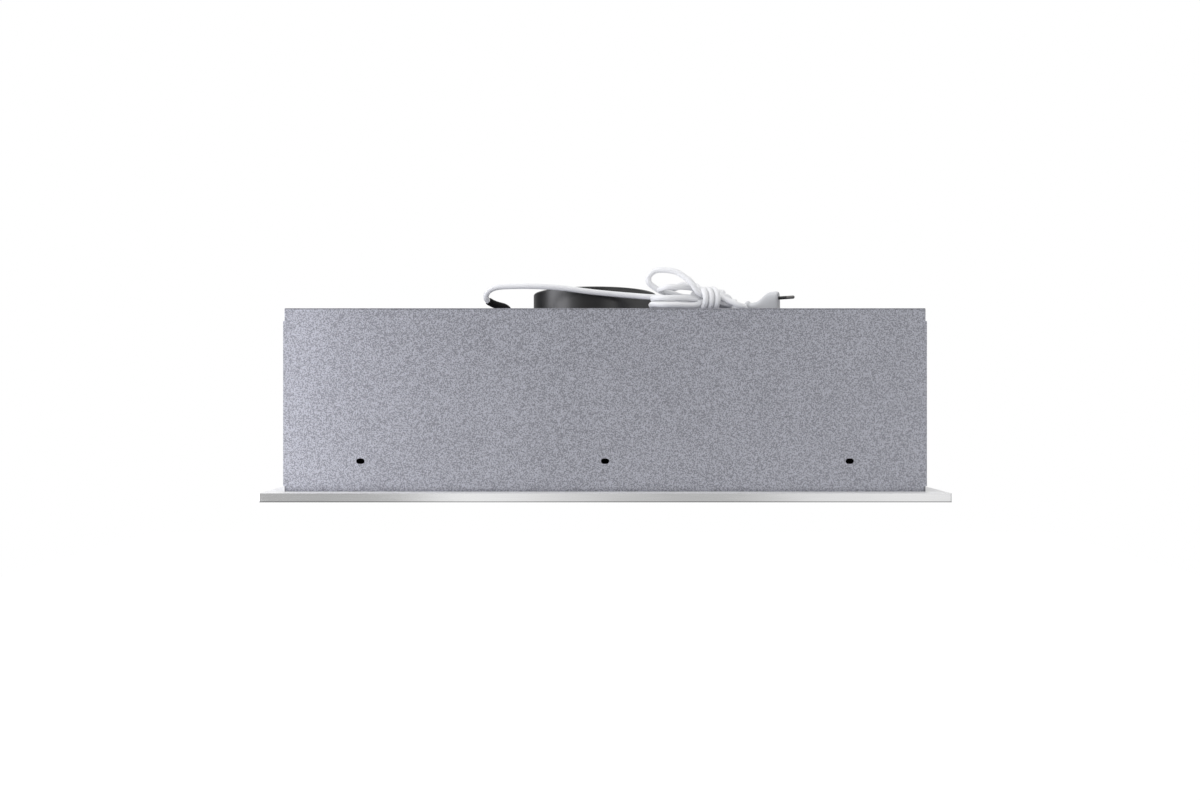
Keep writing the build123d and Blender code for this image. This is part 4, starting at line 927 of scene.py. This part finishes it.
def brush(steel, dark, light, rough, scratch, run):
    """The colour, roughness and relief of scratches along X, or along Y on faces along X."""
    along_x = steel.noise(scratch, stretch=(run / scratch, 1, 1))
    along_y = steel.noise(scratch, stretch=(1, run / scratch, 1))
    scratches = fade(abs(steel.facing()[0]) > LOOKS_THAT_WAY, along_x, along_y)
    clouds = steel.noise(120 * MM, detail=1.0)
    colour = steel.mix(steel.spread(scratches * 0.8 + clouds * 0.2, *NOISE_RANGE), dark, light)
    gloss = steel.spread(scratches, *NOISE_RANGE, rough - 0.04, rough + 0.05)
    return colour, gloss, steel.relief(scratches, 0.02 * MM, 0.6)


def brushed(name, dark, light, rough, scratch, run):
    """Metal with scratches `scratch` metres wide and `run` metres long."""
    steel = Finish(name)
    colour, gloss, relief = brush(steel, dark, light, rough, scratch, run)
    return steel.surface(base_color=colour, metallic=1.0, roughness=gloss, normal=relief)


def flange_steel(name, dark, light, rough, scratch, run):
    """Brushed steel: a painted highlight on its duller top, painted shade on its lower edge."""
    steel = Finish(name)
    colour, gloss, relief = brush(steel, dark, light, rough, scratch, run)
    up = steel.facing()[2]
    looks_up = up > LOOKS_THAT_WAY
    # Painted shade: a thin dark line along the lower edge, but not on the underside.
    line = (steel.split(steel.place())[2] < LINE_Z) * (1 - (up < -LOOKS_THAT_WAY))
    colour = steel.mix(line * PAINTED_LINE_SHADE, colour, PAINTED_LINE_GREY)
    # Painted highlight: faces that look up are painted paler, and are less metallic and duller.
    return steel.surface(
        base_color=steel.mix(looks_up, colour, PAINTED_TOP_HIGHLIGHT), metallic=1 - looks_up * TOP_LESS_METAL,
        roughness=fade(looks_up, gloss, TOP_ROUGH), normal=relief,
    )


stainless_steel = flange_steel(
    "stainless_steel", (0.70, 0.70, 0.705), (0.82, 0.82, 0.825), 0.12, 0.25 * MM, 40 * MM)
print("made", stainless_steel.name)

# %% [markdown]
# The other metals are brushed too, or rolled or drawn, which leaves scratches as well. They
# differ in their colour, and in how wide and how long the scratches are.

# %% The other metals
zinc_steel = brushed(
    "zinc_steel", (0.55, 0.56, 0.57), (0.72, 0.73, 0.75), 0.3, 0.3 * MM, 2 * MM)
filter_aluminium = brushed(
    "filter_aluminium", (0.68, 0.68, 0.69), (0.82, 0.82, 0.83), 0.34, 0.4 * MM, 60 * MM)
mesh_aluminium = brushed(
    "mesh_aluminium", (0.55, 0.55, 0.56), (0.78, 0.78, 0.79), 0.3, 0.4 * MM, 2 * MM)
rivet_aluminium = brushed(
    "rivet_aluminium", (0.66, 0.66, 0.67), (0.78, 0.78, 0.79), 0.32, 0.3 * MM, 1 * MM)
spring_steel = brushed(
    "spring_steel", (0.45, 0.46, 0.48), (0.65, 0.66, 0.68), 0.25, 0.2 * MM, 4 * MM)
rim_chrome = brushed(
    "rim_chrome", (0.80, 0.80, 0.81), (0.88, 0.88, 0.89), 0.1, 0.3 * MM, 3 * MM)
bearing_steel = brushed(
    "bearing_steel", (0.60, 0.60, 0.61), (0.78, 0.78, 0.79), 0.22, 0.2 * MM, 6 * MM)
pin_nickel = brushed(
    "pin_nickel", (0.13, 0.127, 0.123), (0.22, 0.215, 0.207), 0.14, 0.2 * MM, 3 * MM)
print("made", zinc_steel.name, "and its relatives")

# %% [markdown]
# A motor's cores are stacks of thin steel sheets, and its windings are rows of enamelled wire.
# Both are shown by fine lines along the shaft, which is X: a sine of X gives the lines, and the
# same wave pushes the surface in between them.

# %% Stacked sheets and wound wire
def ripples(distance, pitch):
    """A wave between 0 and 1 that comes again every `pitch` metres."""
    return (distance * (2 * pi / pitch)).math("SINE") * 0.5 + 0.5


def layered(name, groove, face, pitch, rough, metallic):
    """A surface of rings, each `pitch` metres wide along X."""
    stack = Finish(name)
    wave = ripples(stack.split(stack.place())[0], pitch)
    patches = stack.noise(3 * MM)
    return stack.surface(
        base_color=stack.mix(stack.spread(wave * 0.7 + patches * 0.3, 0.25, 0.75), groove, face),
        metallic=metallic,
        roughness=stack.spread(patches, *NOISE_RANGE, rough - 0.06, rough + 0.06),
        normal=stack.relief(wave, 0.06 * MM, 0.7),
    )


core_steel = layered("core_steel", (0.16, 0.16, 0.17), (0.46, 0.46, 0.47), 0.5 * MM, 0.45, 0.9)
copper_winding = layered(
    "copper_winding", (0.25, 0.09, 0.04), (0.78, 0.38, 0.19), 0.45 * MM, 0.3, 0.8)
print("made", core_steel.name, copper_winding.name)

# %% [markdown]
# ## Finishes for plastic and rubber
#
# A moulded piece has the texture of its mould: a fine pebble that breaks up reflections, and
# slow changes of gloss where the plastic cooled. The white cord is smoother than the black
# collar, and rubber is the dullest.

# %% Moulded plastic and rubber
PATCH_RANGE = (0.35, 0.65)
PAINTED_SHADE_RANGE = (-0.1, 0.4)


def moulded(name, colour, rough, pebble=0.35 * MM, depth=0.012 * MM, patchy=0.05, tone=0.06,
            shine=0.5, kept_in_painted_shade=1.0):
    """Plastic or rubber of one colour, with a pebble and slow changes of tone and gloss.

    Where it looks sideways or down it keeps the last argument's share of its colour: painted
    shade.
    """
    plastic = Finish(name)
    pebbles = plastic.noise(pebble)
    clouds = plastic.noise(18 * MM)
    darker = tuple(value * (1 - tone) for value in colour)
    lighter = tuple(min(value * (1 + tone), 1) for value in colour)
    tint = plastic.mix(plastic.spread(clouds * 0.6 + pebbles * 0.4, *PATCH_RANGE), darker, lighter)
    # Painted shade: the colour is darkened where the face looks sideways or down.
    if kept_in_painted_shade < 1:
        painted_under_shade = plastic.spread(plastic.facing()[2], *PAINTED_SHADE_RANGE, 1, 0)
        tint = plastic.mix(painted_under_shade * (1 - kept_in_painted_shade), tint, 0)
    patches = clouds * 0.7 + pebbles * 0.3
    return plastic.surface(
        base_color=tint, specular_ior_level=shine, normal=plastic.relief(pebbles, depth, 0.6),
        roughness=plastic.spread(patches, *PATCH_RANGE, rough - patchy, rough + patchy),
    )


black_plastic = moulded(
    "black_plastic", (0.008, 0.008, 0.009), 0.3, depth=0.006 * MM, patchy=0.015, shine=0.6)
dark_plastic = moulded("dark_plastic", (0.04, 0.04, 0.044), 0.45)
housing_plastic = moulded("housing_plastic", (0.60, 0.61, 0.62), 0.5)
wheel_plastic = moulded("wheel_plastic", (0.085, 0.085, 0.093), 0.42)
lamp_white_plastic = moulded("lamp_white_plastic", (0.84, 0.84, 0.82), 0.5, tone=0.02)
lamp_board_white = moulded("lamp_board_white", (0.88, 0.88, 0.86), 0.35, tone=0.02)
board_green = moulded("board_green", (0.04, 0.20, 0.09), 0.35, pebble=0.8 * MM, tone=0.15)
button_grey_plastic = moulded("button_grey_plastic", (0.58, 0.59, 0.60), 0.32, tone=0.03)
terminal_white_plastic = moulded("terminal_white_plastic", (0.86, 0.86, 0.84), 0.4, tone=0.02)
capacitor_grey_plastic = moulded("capacitor_grey_plastic", (0.78, 0.78, 0.77), 0.4, tone=0.03)
wire_grey_plastic = moulded("wire_grey_plastic", (0.53, 0.54, 0.55), 0.4, tone=0.05)
bush_rubber = moulded("bush_rubber", (0.03, 0.03, 0.03), 0.65, depth=0.02 * MM)
sleeve_rubber = moulded("sleeve_rubber", (0.006, 0.006, 0.006), 0.5, shine=0.12)
sleeve_black_plastic = moulded("sleeve_black_plastic", (0.012, 0.012, 0.012), 0.28)
motor_painted = moulded(
    "motor_painted", (0.18, 0.19, 0.20), 0.36, pebble=0.9 * MM, depth=0.03 * MM)
cord_white = moulded(
    "cord_white", (0.88, 0.885, 0.90), 0.38, pebble=1.5 * MM, depth=0.03 * MM, tone=0.015)
# The plug's colour has painted shade where it looks sideways or down.
plug_white_plastic = moulded(
    "plug_white_plastic", (0.70, 0.71, 0.73), 0.35, tone=0.015, kept_in_painted_shade=0.6)
print("plastics and rubbers made")

# %% [markdown]
# The lamp's lens is frosted on its inner face and has fine rings that spread the light. Glass
# that both bends and frosts light is slow and noisy, so the frosting is a clear coat over a
# half-clear white.

# %% Frosted glass
LENS_RING = 1.5 * MM
glass = Finish("frosted_glass")
x, y, _ = glass.split(glass.place())
lamp_middle = [(low + high) / 2 for low, high in zip(*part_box("lamp_right_lens"))]
off_x = abs(x) - lamp_middle[0]
off_y = y - lamp_middle[1]
rings = ripples((off_x * off_x + off_y * off_y).math("SQRT"), LENS_RING)
frost = glass.noise(0.5 * MM)
frosted_glass = glass.surface(
    base_color=glass.mix(frost, (0.86, 0.87, 0.86), (0.95, 0.95, 0.94)),
    roughness=glass.spread(frost, *NOISE_RANGE, 0.22, 0.34),
    transmission_weight=0.55, ior=1.5, coat_weight=0.4, coat_roughness=0.08,
    normal=glass.relief(rings, 0.15 * MM, 0.5),
)
print("lens middle", in_mm(lamp_middle))

# %% [markdown]
# ## Who wears what
#
# Every solid gets its finish from one table, so that nothing is left in the plain grey that it
# was loaded in. A name that is wrong stops the script here, and the last line names any solid
# that was left out.

# %% Give every solid its finish
WEARS = {
    galvanised_steel: "body_shell side_panel_left side_panel_right scroll_left scroll_right",
    rivet_aluminium: "body_rivets",
    stainless_steel: "trim_frame",
    zinc_steel: "casing_screws blower_screws motor_bracket",
    filter_aluminium: "filter_left_frame filter_right_frame",
    mesh_aluminium: "filter_left_mesh filter_right_mesh",
    dark_plastic: "filter_left_latch filter_right_latch control_bezel",
    spring_steel: "filter_left_latch_springs filter_right_latch_springs button_springs",
    rim_chrome: "lamp_left_rim lamp_right_rim",
    frosted_glass: "lamp_left_lens lamp_right_lens",
    lamp_white_plastic: "lamp_left_cup lamp_right_cup",
    lamp_board_white: "lamp_boards",
    housing_plastic: "control_housing terminal_box terminal_box_lid",
    board_green: "control_board",
    button_grey_plastic: "button_off button_speed_1 button_speed_2 button_speed_3 button_light",
    black_plastic: "duct_collar flap_left flap_right cord_gland",
    bush_rubber: "motor_bushes",
    motor_painted: "motor_case motor_cap",
    bearing_steel: "motor_bearings motor_shaft",
    core_steel: "stator_core rotor_core",
    copper_winding: "stator_windings",
    wheel_plastic: "fan_wheel",
    terminal_white_plastic: "terminal_block",
    capacitor_grey_plastic: "run_capacitor",
    wire_grey_plastic: "inner_wires",
    sleeve_rubber: "cord_sleeve",
    cord_white: "mains_cord_lead mains_cord_hank mains_cord_tail",
    plug_white_plastic: "plug_body",
    pin_nickel: "plug_pins",
    sleeve_black_plastic: "plug_pin_sleeves",
}


def wear(piece, finish):
    """Put one finish on the whole of a piece."""
    piece.data.materials.clear()
    piece.data.materials.append(finish)


for finish, names in WEARS.items():
    for name in names.split():
        wear(nodes[name], finish)
wear(mains_cord, cord_white)
wear(sleeve, sleeve_rubber)
wear(plug, plug_white_plastic)
wear(screw_heads, zinc_steel)
for net in nets:
    wear(net, mesh_aluminium)
dressed = " ".join(WEARS.values()).split()
bare = sorted(set(nodes) - set(dressed))
print("finishes", len(WEARS), "solids", len(dressed), "bare", bare)
